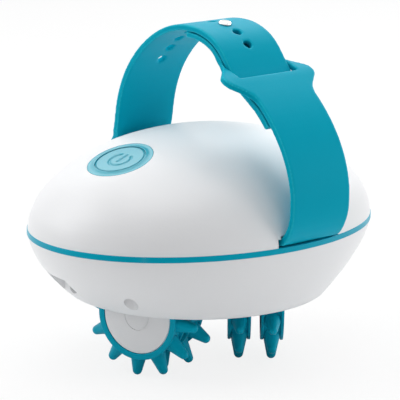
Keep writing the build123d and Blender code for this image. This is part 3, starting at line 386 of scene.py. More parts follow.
class StageSizes(bpy.types.PropertyGroup):
    """Camera, floor, lamps and surroundings."""

    azimuth: FloatProperty(
        name="Azimuth",
        description="Camera's angle round the object",
        default=math.radians(-43),
        subtype="ANGLE",
    )
    elevation: FloatProperty(
        name="Elevation",
        description="Camera's angle above the horizon",
        default=math.radians(12.98),
        subtype="ANGLE",
    )
    roll: FloatProperty(
        name="Roll",
        description="Camera's turn about its own axis",
        default=math.radians(0.975),
        subtype="ANGLE",
    )
    distance: FloatProperty(
        name="Distance", description="Camera to target", default=1.0, unit="LENGTH"
    )
    target_x: FloatProperty(
        name="Target X", description="Where the camera looks", default=-1.355 * MM, unit="LENGTH"
    )
    target_rise: FloatProperty(
        name="Target rise",
        description="Height of the target above the band",
        default=8.545 * MM,
        unit="LENGTH",
    )
    lens: FloatProperty(
        name="Lens",
        description="Focal length for a 36 mm wide sensor, in millimetres",
        default=216.02,
    )
    floor_side: FloatProperty(
        name="Floor side", description="Side of the floor", default=6.0, unit="LENGTH"
    )
    floor_white: FloatProperty(
        name="Floor white",
        description="Share of plain white that the camera sees on the floor",
        default=0.85,
    )
    sky_strength: FloatProperty(
        name="Sky strength", description="Strength of the light from all round", default=0.26
    )
    lamp_distance: FloatProperty(
        name="Lamp distance", description="Lamp to target", default=1.2, unit="LENGTH"
    )
    lamp_side: FloatProperty(
        name="Lamp side", description="Side of one square lamp", default=0.9, unit="LENGTH"
    )


def finished(name, mesh, body, material, node):
    """Links a finished mesh as a piece that rides on a body and stands for a packed node."""
    piece = bpy.data.objects.new(name, mesh)
    bpy.context.scene.collection.objects.link(piece)
    mesh.materials.clear()
    mesh.materials.append(material)
    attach(piece, body)
    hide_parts(node)


def plain_mesh(piece, name):
    """The mesh of an object after its modifiers, which are then dropped with it."""
    graph = bpy.context.evaluated_depsgraph_get()
    mesh = bpy.data.meshes.new_from_object(piece.evaluated_get(graph))
    mesh.name = name
    bpy.data.objects.remove(piece)
    return mesh


def smooth(mesh):
    """Shades a mesh smooth and leaves its clear edges sharp."""
    mesh.shade_smooth()
    mesh.set_sharp_from_angle(angle=SHARP_ANGLE)


def welded_copy(node):
    """A loose object with a node's mesh and its doubled points joined."""
    mesh = bpy.data.meshes.new(node + "_copy")
    work = bmesh.new()
    work.from_mesh(frame["nodes"][node].data)
    bmesh.ops.remove_doubles(work, verts=work.verts, dist=WELD)
    work.to_mesh(mesh)
    work.free()
    copy = bpy.data.objects.new(node + "_copy", mesh)
    bpy.context.scene.collection.objects.link(copy)
    return copy


def softened(node, name, grain, rounds):
    """A node's shape as soft rubber: even small faces and rounded edges."""
    copy = welded_copy(node)
    remesh = copy.modifiers.new("Even faces", "REMESH")
    remesh.mode = "VOXEL"
    remesh.voxel_size = grain
    remesh.use_smooth_shade = True
    relax = copy.modifiers.new("Rounded edges", "SMOOTH")
    relax.factor = 0.5
    relax.iterations = rounds
    mesh = plain_mesh(copy, name)
    mesh.shade_smooth()
    return mesh


def lathe(profile, steps, name):
    """Turns a closed outline of (radius, height) points round Z."""
    work = bmesh.new()
    rings = []
    for step in range(steps):
        angle = math.tau * step / steps
        rings.append(
            [work.verts.new((r * math.cos(angle), r * math.sin(angle), z)) for r, z in profile]
        )
    count = len(profile)
    for step in range(steps):
        near, far = rings[step], rings[(step + 1) % steps]
        for n in range(count):
            following = (n + 1) % count
            work.faces.new((near[n], far[n], far[following], near[following]))
    bmesh.ops.remove_doubles(work, verts=work.verts, dist=WELD)
    bmesh.ops.recalc_face_normals(work, faces=work.faces)
    mesh = bpy.data.meshes.new(name)
    work.to_mesh(mesh)
    work.free()
    return mesh


def rounded(outline, radius):
    """A closed outline of flat points with each corner rounded by a short curve."""
    made = []
    count = len(outline)
    for n in range(count):
        before, corner, after = (Vector(outline[(n + k) % count]) for k in (-1, 0, 1))
        back = before - corner
        ahead = after - corner
        cut = min(radius, back.length * CORNER_SHARE, ahead.length * CORNER_SHARE)
        start = corner + back.normalized() * cut
        end = corner + ahead.normalized() * cut
        for step in range(CORNER_STEPS + 1):
            share = step / CORNER_STEPS
            low = start.lerp(corner, share)
            high = corner.lerp(end, share)
            made.append(tuple(low.lerp(high, share)))
    return made


def node_with(tree, kind, **values):
    """A new node with its properties set."""
    node = tree.nodes.new(kind)
    for name, value in values.items():
        setattr(node, name, value)
    return node


def new_group(name, kind, inputs, outputs):
    """A new node group whose sockets are pairs of name and kind, with its two end nodes."""
    tree = bpy.data.node_groups.new(name, kind)
    for in_out, sockets in (("INPUT", inputs), ("OUTPUT", outputs)):
        for socket, sort in sockets:
            tree.interface.new_socket(socket, in_out=in_out, socket_type="NodeSocket" + sort)
    return tree, tree.nodes.new("NodeGroupInput"), tree.nodes.new("NodeGroupOutput")


def tone_group():
    """Shader group: slow, slight changes of tone in a moulded colour."""
    name = "Moulded tone"
    if name in bpy.data.node_groups:
        return bpy.data.node_groups[name]
    tree, start, end = new_group(
        name,
        "ShaderNodeTree",
        inputs=(("Vector", "Vector"), ("Color", "Color"), ("Amount", "Float"), ("Scale", "Float")),
        outputs=(("Color", "Color"),),
    )
    cloud = node_with(tree, "ShaderNodeTexNoise", noise_dimensions="3D")
    cloud.inputs["Detail"].default_value = 3
    spread = node_with(tree, "ShaderNodeMapRange")
    spread.inputs["From Min"].default_value = 0.3
    spread.inputs["From Max"].default_value = 0.7
    spread.inputs["To Min"].default_value = -0.5
    spread.inputs["To Max"].default_value = 0.5
    weigh = node_with(tree, "ShaderNodeMath", operation="MULTIPLY")
    lift = node_with(tree, "ShaderNodeMath", operation="ADD")
    lift.inputs[1].default_value = 1.0
    tint = node_with(tree, "ShaderNodeVectorMath", operation="SCALE")
    link = tree.links.new
    link(start.outputs["Vector"], cloud.inputs["Vector"])
    link(start.outputs["Scale"], cloud.inputs["Scale"])
    link(cloud.outputs["Fac"], spread.inputs["Value"])
    link(spread.outputs["Result"], weigh.inputs[0])
    link(start.outputs["Amount"], weigh.inputs[1])
    link(weigh.outputs[0], lift.inputs[0])
    link(start.outputs["Color"], tint.inputs[0])
    link(lift.outputs[0], tint.inputs["Scale"])
    link(tint.outputs[0], end.inputs["Color"])
    return tree


def grain_group():
    """Shader group: fine surface grain with matching changes of roughness."""
    name = "Fine grain"
    if name in bpy.data.node_groups:
        return bpy.data.node_groups[name]
    tree, start, end = new_group(
        name,
        "ShaderNodeTree",
        inputs=(("Vector", "Vector"), ("Scale", "Float"), ("Roughness", "Float"), ("Spread", "Float")),
        outputs=(("Roughness", "Float"), ("Height", "Float")),
    )
    fine = node_with(tree, "ShaderNodeTexNoise", noise_dimensions="3D")
    fine.inputs["Detail"].default_value = 2
    smear = node_with(tree, "ShaderNodeTexNoise", noise_dimensions="3D")
    smear.inputs["Scale"].default_value = 45
    smear.inputs["Detail"].default_value = 4
    centre = node_with(tree, "ShaderNodeMath", operation="SUBTRACT")
    centre.inputs[1].default_value = 0.5
    weigh = node_with(tree, "ShaderNodeMath", operation="MULTIPLY")
    total = node_with(tree, "ShaderNodeMath", operation="ADD", use_clamp=True)
    link = tree.links.new
    link(start.outputs["Vector"], fine.inputs["Vector"])
    link(start.outputs["Vector"], smear.inputs["Vector"])
    link(start.outputs["Scale"], fine.inputs["Scale"])
    link(smear.outputs["Fac"], centre.inputs[0])
    link(centre.outputs[0], weigh.inputs[0])
    link(start.outputs["Spread"], weigh.inputs[1])
    link(weigh.outputs[0], total.inputs[0])
    link(start.outputs["Roughness"], total.inputs[1])
    link(total.outputs[0], end.inputs["Roughness"])
    link(fine.outputs["Fac"], end.inputs["Height"])
    return tree


def edge_group():
    """Shader group: lighter edges, partly slight rubbing and partly a painted highlight."""
    name = "Rubbed edges"
    if name in bpy.data.node_groups:
        return bpy.data.node_groups[name]
    tree, start, end = new_group(
        name,
        "ShaderNodeTree",
        inputs=(
            ("Color", "Color"),
            ("Edge Color", "Color"),
            ("Amount", "Float"),
            ("Start", "Float"),
            ("Full", "Float"),
        ),
        outputs=(("Color", "Color"),),
    )
    shape = tree.nodes.new("ShaderNodeNewGeometry")
    mask = node_with(tree, "ShaderNodeMapRange", interpolation_type="SMOOTHSTEP")
    weigh = node_with(tree, "ShaderNodeMath", operation="MULTIPLY")
    mix = node_with(tree, "ShaderNodeMix", data_type="RGBA")
    link = tree.links.new
    link(shape.outputs["Pointiness"], mask.inputs["Value"])
    link(start.outputs["Start"], mask.inputs["From Min"])
    link(start.outputs["Full"], mask.inputs["From Max"])
    link(mask.outputs["Result"], weigh.inputs[0])
    link(start.outputs["Amount"], weigh.inputs[1])
    link(weigh.outputs[0], mix.inputs["Factor"])
    link(start.outputs["Color"], mix.inputs["A"])
    link(start.outputs["Edge Color"], mix.inputs["B"])
    link(mix.outputs["Result"], end.inputs["Color"])
    return tree


def placed(tree, group, **values):
    """A group node in a material with its inputs set."""
    node = tree.nodes.new("ShaderNodeGroup")
    node.node_tree = group
    for name, value in values.items():
        node.inputs[name.replace("_", " ")].default_value = value
    return node


def moulded(
    name,
    colour,
    roughness=0.35,
    spread=0.1,
    scale=900,
    bump=0.02 * MM,
    tone=0.05,
    edge=0.15,
    edge_range=(0.52, 0.60),
    edge_colour=None,
    shine=WHITE,
    mirror=0.5,
):
    """Moulded plastic or rubber: tone, grain and lighter edges, rubbed and with a painted highlight,
    on a plain colour.
    """
    if name in bpy.data.materials:
        return bpy.data.materials[name]
    material = bpy.data.materials.new(name)
    material.use_nodes = True
    tree = material.node_tree
    shader = tree.nodes["Principled BSDF"]
    shader.inputs["Specular Tint"].default_value = shine
    shader.inputs["Specular IOR Level"].default_value = mirror
    place = tree.nodes.new("ShaderNodeTexCoord")
    lifted = [channel + (1 - channel) * EDGE_LIFT for channel in colour[:3]]
    light = edge_colour or [*lifted, 1]
    tint = placed(tree, tone_group(), Color=colour, Amount=tone, Scale=TONE_SCALE)
    first, full = edge_range
    # Lighter edges from pointiness: rubbed wear and a painted highlight where edges catch the light.
    worn_and_lit_edges = placed(tree, edge_group(), Edge_Color=light, Amount=edge, Start=first, Full=full)
    grain = placed(tree, grain_group(), Scale=scale, Roughness=roughness, Spread=spread)
    relief = tree.nodes.new("ShaderNodeBump")
    relief.inputs["Distance"].default_value = bump
    relief.inputs["Strength"].default_value = 1.0
    link = tree.links.new
    link(place.outputs["Object"], tint.inputs["Vector"])
    link(place.outputs["Object"], grain.inputs["Vector"])
    link(tint.outputs["Color"], worn_and_lit_edges.inputs["Color"])
    link(worn_and_lit_edges.outputs["Color"], shader.inputs["Base Color"])
    link(grain.outputs["Roughness"], shader.inputs["Roughness"])
    link(grain.outputs["Height"], relief.inputs["Height"])
    link(relief.outputs["Normal"], shader.inputs["Normal"])
    return material


def metal(name, colour, roughness=0.25, spread=0.15, scale=400, bump=0.004 * MM):
    """Bare metal with slight changes of tone and polish."""
    material = moulded(name, colour, roughness, spread, scale, bump, tone=0.08, edge=0.2)
    material.node_tree.nodes["Principled BSDF"].inputs["Metallic"].default_value = 1.0
    return material


def dress(material, *nodes):
    """Gives packed nodes a material."""
    for node in nodes:
        slots = frame["nodes"][node].data.materials
        slots.clear()
        slots.append(material)


def dome_frame():
    """Button's place on the dome: origin over the band's middle, two directions, the normal."""
    casing = bpy.context.scene.massager_casing
    x = bpy.context.scene.massager_button.place_x
    length, height = casing.half_length, casing.dome_height
    z = height * math.sqrt(1 - (x / length) ** 2)
    normal = Vector((x / length**2, 0, z / height**2)).normalized()
    side = Vector((0, 1, 0))
    return Vector((x, 0, z)), normal.cross(side), side, normal


def on_dome(ahead, across, rise):
    """Point over the button's face, given along the casing, across it and above it."""
    casing = bpy.context.scene.massager_casing
    depth = bpy.context.scene.massager_button.face_depth
    origin, down, side, normal = dome_frame()
    start = origin - down * ahead + side * across
    axes = Vector((casing.half_length, casing.half_width, casing.dome_height))
    axes -= Vector((depth, depth, depth))
    # With all lengths divided by the axes the dome is a ball of radius 1, and the line meets it.
    point = Vector([start[k] / axes[k] for k in range(3)])
    line = Vector([normal[k] / axes[k] for k in range(3)])
    lean = point.dot(line)
    root = math.sqrt(lean**2 - line.dot(line) * (point.dot(point) - 1))
    height = (root - lean) / line.dot(line)
    return start + normal * (height + rise) + Vector((0, 0, BAND_Z))


def dome_lathe(profile, relief=None):
    """Closed body turned round the button's axis, its heights taken from the dome."""
    work = bmesh.new()
    rows = []
    for radius, rise in profile:
        row = []
        for step in range(BUTTON_STEPS):
            angle = math.tau * step / BUTTON_STEPS
            ahead, across = radius * math.cos(angle), radius * math.sin(angle)
            depth = relief(ahead, across) if relief else 0.0
            row.append(work.verts.new(on_dome(ahead, across, rise + depth)))
        rows.append(row)
    for near, far in zip(rows, rows[1:] + rows[:1]):
        for n in range(BUTTON_STEPS):
            following = (n + 1) % BUTTON_STEPS
            work.faces.new((near[n], near[following], far[following], far[n]))
    bmesh.ops.remove_doubles(work, verts=work.verts, dist=WELD)
    bmesh.ops.recalc_face_normals(work, faces=work.faces)
    return work


def lower_top(node, work, drop):
    """Adds a packed node to a body, with its top let down under that body's own top."""
    origin, down, side, normal = dome_frame()
    origin = origin + Vector((0, 0, BAND_Z))
    copy = welded_copy(node)
    for vertex in copy.data.vertices:
        offset = vertex.co - origin
        top = on_dome(-offset.dot(down), offset.dot(side), 0)
        if (top - vertex.co).dot(normal) < drop:
            vertex.co -= normal * drop
    work.from_mesh(copy.data)
    bpy.data.objects.remove(copy)


def sign_relief(sizes):
    """Function for how far the power sign's grooves lie under a place on the button's face."""
    bar_start = sizes.bar_start * sizes.sign_radius
    bar_end = sizes.bar_end * sizes.sign_radius

    def relief(ahead, across):
        radius = math.hypot(ahead, across)
        angle = math.atan2(across, ahead)
        beyond = sizes.sign_gap - abs(angle)
        gap = abs(radius - sizes.sign_radius)
        if beyond > 0:
            gap = math.hypot(gap, radius * beyond)
        along = min(max(ahead, bar_start), bar_end)
        gap = min(gap, math.hypot(ahead - along, across))
        # A smooth step from the groove's edge down to its middle.
        share = max(0, 1 - gap / sizes.groove_width)
        return -sizes.groove_depth * share * share * (3 - 2 * share)

    return relief


def dished(start, end, depth):
    """Points of a shallow dish between two radii, a parabola that is deepest in its middle."""
    shares = [step / RING_STEPS for step in range(RING_STEPS + 1)]
    return [(start + (end - start) * share, -depth * 4 * share * (1 - share)) for share in shares]


def roller_profile(sizes, cap_side):
    """Outline of a roller's turned body, as (radius, height along the axle)."""
    half = sizes.width / 2
    flange = half - sizes.flange_width
    floor = half - sizes.pocket_depth
    hub_top = floor + sizes.hub_rise if cap_side else half
    outline = [
        (sizes.bore_radius, -half),
        (sizes.hub_radius, -half),
        (sizes.hub_radius, -floor),
        (sizes.pocket_radius, -floor),
        (sizes.pocket_radius, -half),
        (sizes.flange_radius, -half),
        (sizes.flange_radius, -flange),
        (sizes.drum_radius, -flange),
        (sizes.drum_radius, flange),
        (sizes.flange_radius, flange),
        (sizes.flange_radius, half),
        (sizes.pocket_radius, half),
        (sizes.pocket_radius, floor),
        (sizes.hub_radius, floor),
        (sizes.hub_radius, hub_top),
        (sizes.bore_radius, hub_top),
    ]
    return rounded(outline, sizes.edge_radius)


def spike_object(sizes):
    """Blunt spike with a round tip and a flared foot, pointing along X."""
    foot = [(sizes.spike_base + out * MM, sizes.drum_radius + up * MM) for out, up in SPIKE_FOOT]
    root = foot[0][1]
    centre = sizes.reach - sizes.spike_tip
    slope = math.asin((sizes.spike_base - sizes.spike_tip) / (centre - root))
    tip = []
    for step in range(TIP_STEPS + 1):
        angle = slope + (QUARTER_TURN - slope) * step / TIP_STEPS
        tip.append((sizes.spike_tip * math.cos(angle), centre + sizes.spike_tip * math.sin(angle)))
    mesh = lathe([(0.0, root), *foot, *tip], SPIKE_STEPS, "spike")
    mesh.transform(Matrix.Rotation(QUARTER_TURN, 4, "Y"))
    mesh.shade_smooth()
    spike = bpy.data.objects.new("spike", mesh)
    bpy.context.scene.collection.objects.link(spike)
    return spike


def spike_tree():
    """Geometry Nodes: a row of spikes turned round a roller's axis."""
    name = "Spikes round a roller"
    if name in bpy.data.node_groups:
        return bpy.data.node_groups[name]
    tree, start, end = new_group(
        name,
        "GeometryNodeTree",
        inputs=(
            ("Geometry", "Geometry"),
            ("Spike", "Object"),
            ("Count", "Int"),
            ("Phase", "Float"),
            ("Material", "Material"),
        ),
        outputs=(("Geometry", "Geometry"),),
    )
    row = tree.nodes.new("GeometryNodeMeshLine")
    row.inputs["Offset"].default_value = (0, 0, 0)
    shape = tree.nodes.new("GeometryNodeObjectInfo")
    number = tree.nodes.new("GeometryNodeInputIndex")
    pace = node_with(tree, "ShaderNodeMath", operation="DIVIDE")
    pace.inputs[0].default_value = math.tau
    turn = node_with(tree, "ShaderNodeMath", operation="MULTIPLY_ADD")
    angles = tree.nodes.new("ShaderNodeCombineXYZ")
    spread = tree.nodes.new("GeometryNodeInstanceOnPoints")
    real = tree.nodes.new("GeometryNodeRealizeInstances")
    join = tree.nodes.new("GeometryNodeJoinGeometry")
    paint = tree.nodes.new("GeometryNodeSetMaterial")
    link = tree.links.new
    link(start.outputs["Count"], row.inputs["Count"])
    link(start.outputs["Spike"], shape.inputs["Object"])
    link(start.outputs["Count"], pace.inputs[1])
    link(number.outputs["Index"], turn.inputs[0])
    link(pace.outputs[0], turn.inputs[1])
    link(start.outputs["Phase"], turn.inputs[2])
    link(turn.outputs[0], angles.inputs["Z"])
    link(row.outputs["Mesh"], spread.inputs["Points"])
    link(shape.outputs["Geometry"], spread.inputs["Instance"])
    link(angles.outputs[0], spread.inputs["Rotation"])
    link(spread.outputs["Instances"], real.inputs["Geometry"])
    link(real.outputs["Geometry"], join.inputs["Geometry"])
    link(start.outputs["Geometry"], join.inputs["Geometry"])
    link(join.outputs["Geometry"], paint.inputs["Geometry"])
    link(start.outputs["Material"], paint.inputs["Material"])
    link(paint.outputs["Geometry"], end.inputs["Geometry"])
    return tree


def set_inputs(modifier, **values):
    """Sets a Geometry Nodes modifier's inputs by their sockets' identifiers."""
    for item in modifier.node_group.interface.items_tree:
        if item.item_type == "SOCKET" and item.in_out == "INPUT" and item.name in values:
            modifier[item.identifier] = values[item.name]


class MASSAGER_OT_shells(bpy.types.Operator):
    """Finish both shells and the band between them"""

    bl_idname = "massager.shells"
    bl_label = "Shells and band"

    def execute(self, context):
        colours = context.scene.massager_colours
        white = moulded(
            "Casing satin", colours.shell, roughness=0.36, spread=0.06, tone=0.015, edge=0.05
        )
        teal = moulded("Band satin", colours.roller, roughness=0.33, shine=colours.shine, mirror=0.3)
        dress(white, "upper_shell", "lower_shell")
        dress(teal, "rim_band")
        return {"FINISHED"}


class MASSAGER_OT_strap(bpy.types.Operator):
    """Make both strap halves as soft rubber and the metal stud"""

    bl_idname = "massager.strap"
    bl_label = "Hand strap"

    def execute(self, context):
        sizes = context.scene.massager_strap
        colours = context.scene.massager_colours
        rubber = moulded(
            "Strap rubber",
            colours.teal,
            roughness=0.42,
            spread=0.12,
            scale=1500,
            bump=0.03 * MM,
            tone=0.04,
            # Strong lighter teal along the edges: a painted highlight where the rubber's edges catch
            # the light.
            edge=0.9,
            edge_range=(0.51, 0.56),
            edge_colour=colours.rim,
            shine=colours.shine,
            mirror=0.06,
        )
        for node in ("buckle_strap", "hole_strap"):
            mesh = softened(node, node + "_rubber", sizes.grain, sizes.softening)
            self.lean_on_band(mesh, sizes)
            self.waist(mesh, sizes)
            finished(node + "_rubber", mesh, "casing", rubber, node)
        dress(metal("Stud polish", POLISHED_STEEL, roughness=0.08, spread=0.05), "strap_stud")
        return {"FINISHED"}

    def lean_on_band(self, mesh, sizes):
        """Sags the strap's bends outside the casing, so that they rest close over the band."""
        for vertex in mesh.vertices:
            out = (abs(vertex.co.y) - sizes.bend_start) / sizes.bend_room
            low = 1 - (vertex.co.z - BAND_HIGH.z) / sizes.bend_height
            share = min(max(out, 0), 1) * min(max(low, 0), 1)
            vertex.co.z -= sizes.sag * share

    def waist(self, mesh, sizes):
        """Draws the far leg in a little on the nose side, where it lies over the dome."""
        low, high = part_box("hole_strap")
        middle = (low.x + high.x) / 2
        half = (high.x - low.x) / 2
        for vertex in mesh.vertices:
            climb = (vertex.co.z - BAND_Z - sizes.waist_low) / sizes.waist_height
            if vertex.co.y > 0 and 0 < climb < 1 and vertex.co.x < middle:
                share = math.sin(math.pi * climb) * (middle - vertex.co.x) / half
                vertex.co.x += sizes.waist_draw * share


class MASSAGER_OT_button(bpy.types.Operator):
    """Make the button with its sunk power sign, and the ring round it"""

    bl_idname = "massager.button"
    bl_label = "Power button"

    def execute(self, context):
        sizes = context.scene.massager_button
        colours = context.scene.massager_colours
        plastic = moulded(
            "Button satin", colours.button, roughness=0.2, tone=0.04, edge=0.1, mirror=0.4
        )
        dress(plastic, "button_bezel", "power_button")
        disc = dome_lathe(self.disc_outline(sizes), sign_relief(sizes))
        self.finish(sizes, disc, "power_button", "button", plastic)
        ring = dome_lathe(self.ring_outline(sizes))
        self.finish(sizes, ring, "button_bezel", "casing", plastic)
        return {"FINISHED"}

    def disc_outline(self, sizes):
        """Outline of the disc's top: its dished face, the bent rim and the step under it."""
        edge = sizes.disc_radius - sizes.lip
        bend = LIP_SHARE * sizes.lip
        shoulder = sizes.ring_inner - sizes.gap_room
        shares = [step / FACE_STEPS for step in range(FACE_STEPS + 1)]
        face = [(edge * share, -sizes.dish * (1 - share**2)) for share in shares]
        under = [
            (sizes.disc_radius - bend, -bend),
            (sizes.disc_radius, -sizes.lip),
            (sizes.disc_radius, -sizes.gap_depth),
            (shoulder, -sizes.gap_depth),
            (shoulder, -sizes.cap_depth),
            (0.0, -sizes.cap_depth),
        ]
        return face + under

    def ring_outline(self, sizes):
        """Outline of the ring's top: a shallow dish between two bent lips."""
        inner, outer = sizes.ring_inner, sizes.ring_outer
        bend = LIP_SHARE * sizes.lip
        dish = dished(inner + sizes.lip, outer - sizes.lip, sizes.ring_dish)
        dish = [(radius, rise + sizes.face_depth) for radius, rise in dish]
        inside = [(inner, -sizes.cap_depth), (inner, 0.0), (inner + bend, sizes.lip - bend)]
        outside = [(outer - bend, sizes.lip - bend), (outer, 0.0), (outer, -sizes.cap_depth)]
        return inside + dish + outside

    def finish(self, sizes, work, node, body, material):
        """Joins a finished top with the rest of its node and links it."""
        lower_top(node, work, sizes.top_drop)
        mesh = bpy.data.meshes.new(node + "_finished")
        work.to_mesh(mesh)
        work.free()
        smooth(mesh)
        finished(node + "_finished", mesh, body, material, node)


class MASSAGER_OT_rollers(bpy.types.Operator):
    """Make the six spiked rollers and finish their caps"""

    bl_idname = "massager.rollers"
    bl_label = "Spiked rollers"

    def execute(self, context):
        sizes = context.scene.massager_roller
        colours = context.scene.massager_colours
        teal = moulded(
            "Roller satin",
            colours.roller,
            roughness=0.38,
            spread=0.08,
            shine=colours.shine,
            mirror=0.3,
        )
        white = moulded("Cap satin", colours.shell, roughness=0.4, tone=0.02, edge=0.05)
        spike = spike_object(sizes)
        joints = {joint["child"]: joint for joint in frame["joints"]}
        for pair in PAIRS:
            for side, phases in SPIKE_PHASES.items():
                name = f"roller_{pair}_{side}"
                profile = roller_profile(sizes, side == "outer")
                mesh = self.spiked(context, name, profile, spike, phases[pair - 1], teal)
                mesh.transform(self.on_axle(joints[name]))
                finished(name, mesh, name, teal, f"wheel_{pair}_{side}")
        bpy.data.objects.remove(spike)
        dress(white, *[f"wheel_cap_{pair}" for pair in PAIRS])
        return {"FINISHED"}

    def spiked(self, context, name, profile, spike, phase, material):
        """Mesh of one roller: its turned body, and spikes all round from an angle in degrees."""
        body = bpy.data.objects.new("turning", lathe(profile, ROLLER_STEPS, "roller"))
        context.scene.collection.objects.link(body)
        smooth(body.data)
        spikes = body.modifiers.new("Spikes", "NODES")
        spikes.node_group = spike_tree()
        set_inputs(
            spikes,
            Spike=spike,
            Count=context.scene.massager_roller.spike_count,
            Phase=math.radians(phase),
            Material=material,
        )
        return plain_mesh(body, name)

    def on_axle(self, joint):
        """Turn and shift that put a roller, made round Z, on its axle."""
        angle = math.atan2(joint["axis"][1], joint["axis"][0])
        turn = Matrix.Rotation(angle, 4, "Z") @ Matrix.Rotation(QUARTER_TURN, 4, "Y")
        return Matrix.Translation(joint["pos_m"]) @ turn


class MASSAGER_OT_turntable(bpy.types.Operator):
    """Finish the turntable, its hub, lid and axles"""

    bl_idname = "massager.turntable"
    bl_label = "Turntable"

    def execute(self, context):
        colours = context.scene.massager_colours
        white = moulded("Turntable satin", colours.shell, roughness=0.45, tone=0.03, edge=0.08)
        steel = metal("Ground steel", GROUND_STEEL, roughness=0.28)
        dress(white, "carousel_body", "carousel_cover", "hub_cover")
        dress(steel, *[f"axle_{pair}" for pair in PAIRS])
        dress(steel, "spindle", "axle_clips", "idler_pin", "motor_shaft")
        return {"FINISHED"}


class MASSAGER_OT_workings(bpy.types.Operator):
    """Finish the gears, motor, plates, screws and electric parts"""

    bl_idname = "massager.workings"
    bl_label = "Workings"

    def execute(self, context):
        zinc = metal("Zinc plate", ZINC, roughness=0.35)
        nylon = moulded("Nylon", NYLON, roughness=0.5)
        brass = metal("Bush brass", BRASS, roughness=0.4)
        grey = moulded("Inner grey", DARK_GREY, roughness=0.5)
        dress(zinc, *[name for name in frame["nodes"] if name.endswith(("screws", "screw"))])
        dress(nylon, "output_gear", "idler_gear", "pinion")
        dress(metal("Motor can", CAN_STEEL, roughness=0.32), "motor")
        dress(brass, "lower_bush", "upper_bush")
        dress(grey, "chassis", "gearbox_cover", "strap_anchor_near", "strap_anchor_far")
        dress(moulded("Board lacquer", BOARD_GREEN, roughness=0.3), "circuit_board")
        dress(moulded("Socket grey", SOCKET_GREY, roughness=0.4), "dc_socket")
        dress(moulded("Switch black", SWITCH_BLACK, roughness=0.35), "tactile_switch")
        return {"FINISHED"}


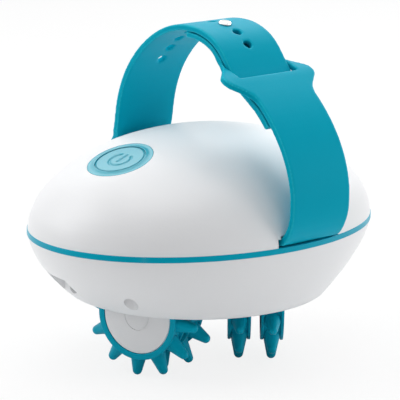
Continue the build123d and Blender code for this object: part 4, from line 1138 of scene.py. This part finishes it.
class MASSAGER_OT_stage(bpy.types.Operator):
    """Set the floor, the lamps, the surroundings and the camera"""

    bl_idname = "massager.stage"
    bl_label = "Stage"

    def execute(self, context):
        sizes = context.scene.massager_stage
        back, right, up = self.directions(sizes)
        target = Vector((sizes.target_x, 0, BAND_Z + sizes.target_rise))
        self.camera(context, sizes, target, back, right, up)
        self.floor(context, sizes)
        self.surroundings(context, sizes)
        for name, around, rise, power in LAMPS:
            self.lamp(context, sizes, target, name, around, rise, power)
        context.scene.view_settings.view_transform = "Standard"
        return {"FINISHED"}

    def directions(self, sizes):
        """Camera's backward, right and up directions."""
        around, rise, roll = sizes.azimuth, sizes.elevation, sizes.roll
        back = Vector(
            (math.sin(around) * math.cos(rise), -math.cos(around) * math.cos(rise), math.sin(rise))
        )
        right = Vector((math.cos(around), math.sin(around), 0))
        up = back.cross(right)
        turned_right = math.cos(roll) * right + math.sin(roll) * up
        turned_up = math.cos(roll) * up - math.sin(roll) * right
        return back, turned_right, turned_up

    def camera(self, context, sizes, target, back, right, up):
        """Camera at its distance from the target, looking at it."""
        lens = bpy.data.cameras.new("Camera")
        lens.sensor_width = SENSOR_WIDTH
        lens.lens = sizes.lens
        lens.clip_start = NEAR_CLIP
        camera = bpy.data.objects.new("Camera", lens)
        context.scene.collection.objects.link(camera)
        turn = Matrix((right, up, back)).transposed().to_4x4()
        camera.matrix_world = Matrix.Translation(target + back * sizes.distance) @ turn
        context.scene.camera = camera

    def floor(self, context, sizes):
        """Flat square floor under the object."""
        work = bmesh.new()
        bmesh.ops.create_grid(
            work, x_segments=FLOOR_SQUARES, y_segments=FLOOR_SQUARES, size=sizes.floor_side / 2
        )
        mesh = bpy.data.meshes.new("Floor")
        work.to_mesh(mesh)
        work.free()
        floor = bpy.data.objects.new("Floor", mesh)
        context.scene.collection.objects.link(floor)
        mesh.materials.append(self.floor_material(sizes))

    def floor_material(self, sizes):
        """Pale floor that keeps the shadow and is lifted to white for the camera."""
        material = bpy.data.materials.new("Floor paper")
        material.use_nodes = True
        tree = material.node_tree
        shader = tree.nodes["Principled BSDF"]
        shader.inputs["Base Color"].default_value = PAPER
        shader.inputs["Roughness"].default_value = 0.9
        shader.inputs["Specular IOR Level"].default_value = 0.1
        white = tree.nodes.new("ShaderNodeEmission")
        path = tree.nodes.new("ShaderNodeLightPath")
        share = node_with(tree, "ShaderNodeMath", operation="MULTIPLY")
        share.inputs[1].default_value = sizes.floor_white
        mix = tree.nodes.new("ShaderNodeMixShader")
        link = tree.links.new
        link(path.outputs["Is Camera Ray"], share.inputs[0])
        link(share.outputs[0], mix.inputs[0])
        link(shader.outputs[0], mix.inputs[1])
        link(white.outputs[0], mix.inputs[2])
        link(mix.outputs[0], tree.nodes["Material Output"].inputs["Surface"])
        return material

    def surroundings(self, context, sizes):
        """Grey light from all round, seen as white by the camera and in the gloss."""
        world = bpy.data.worlds.new("Surroundings")
        world.use_nodes = True
        tree = world.node_tree
        dim = tree.nodes["Background"]
        dim.inputs["Color"].default_value = SKY
        dim.inputs["Strength"].default_value = sizes.sky_strength
        white = tree.nodes.new("ShaderNodeBackground")
        white.inputs["Color"].default_value = WHITE
        path = tree.nodes.new("ShaderNodeLightPath")
        bright = node_with(tree, "ShaderNodeMath", operation="MAXIMUM")
        seen = node_with(tree, "ShaderNodeMath", operation="MAXIMUM")
        mix = tree.nodes.new("ShaderNodeMixShader")
        link = tree.links.new
        link(path.outputs["Is Glossy Ray"], bright.inputs[0])
        link(path.outputs["Is Transmission Ray"], bright.inputs[1])
        link(path.outputs["Is Camera Ray"], seen.inputs[0])
        link(bright.outputs[0], seen.inputs[1])
        link(seen.outputs[0], mix.inputs[0])
        link(dim.outputs[0], mix.inputs[1])
        link(white.outputs[0], mix.inputs[2])
        link(mix.outputs[0], tree.nodes["World Output"].inputs["Surface"])
        context.scene.world = world

    def lamp(self, context, sizes, target, name, around, rise, power):
        """Square lamp aimed at the target, at an angle round it from the camera and a rise."""
        turn = sizes.azimuth - QUARTER_TURN + math.radians(around)
        lift = math.radians(rise)
        level = Vector((math.cos(turn), math.sin(turn), 0))
        away = level * math.cos(lift) + Vector((0, 0, math.sin(lift)))
        light = bpy.data.lights.new(name, "AREA")
        light.energy = power
        light.size = sizes.lamp_side
        lamp = bpy.data.objects.new(name, light)
        context.scene.collection.objects.link(lamp)
        facing = away.to_track_quat("Z", "Y").to_matrix().to_4x4()
        lamp.matrix_world = Matrix.Translation(target + away * sizes.lamp_distance) @ facing


SETTINGS = (
    ("massager_casing", CasingSizes),
    ("massager_strap", StrapSizes),
    ("massager_roller", RollerSizes),
    ("massager_button", ButtonSizes),
    ("massager_colours", FinishColours),
    ("massager_stage", StageSizes),
)
STEPS = (
    MASSAGER_OT_shells,
    MASSAGER_OT_strap,
    MASSAGER_OT_button,
    MASSAGER_OT_rollers,
    MASSAGER_OT_turntable,
    MASSAGER_OT_workings,
    MASSAGER_OT_stage,
)


class MASSAGER_PT_panel(bpy.types.Panel):
    """Settings and steps of the massager"""

    bl_label = "Massager"
    bl_space_type = "VIEW_3D"
    bl_region_type = "UI"
    bl_category = "Massager"

    def draw(self, context):
        for name, group in SETTINGS:
            box = self.layout.box()
            box.label(text=group.__doc__)
            settings = getattr(context.scene, name)
            for field in group.__annotations__:
                box.prop(settings, field)
        for step in STEPS:
            self.layout.operator(step.bl_idname)


def register():
    """Registers the settings, the steps and the panel."""
    for name, group in SETTINGS:
        bpy.utils.register_class(group)
        setattr(bpy.types.Scene, name, PointerProperty(type=group))
    for item in (*STEPS, MASSAGER_PT_panel):
        bpy.utils.register_class(item)


def unregister():
    """Takes them out again, in reverse order."""
    for item in reversed((*STEPS, MASSAGER_PT_panel)):
        bpy.utils.unregister_class(item)
    for name, group in reversed(SETTINGS):
        delattr(bpy.types.Scene, name)
        bpy.utils.unregister_class(group)


def main():
    """Makes every piece and the stage."""
    register()
    bpy.ops.massager.shells()
    bpy.ops.massager.strap()
    bpy.ops.massager.button()
    bpy.ops.massager.rollers()
    bpy.ops.massager.turntable()
    bpy.ops.massager.workings()
    bpy.ops.massager.stage()


if __name__ == "__main__":
    main()
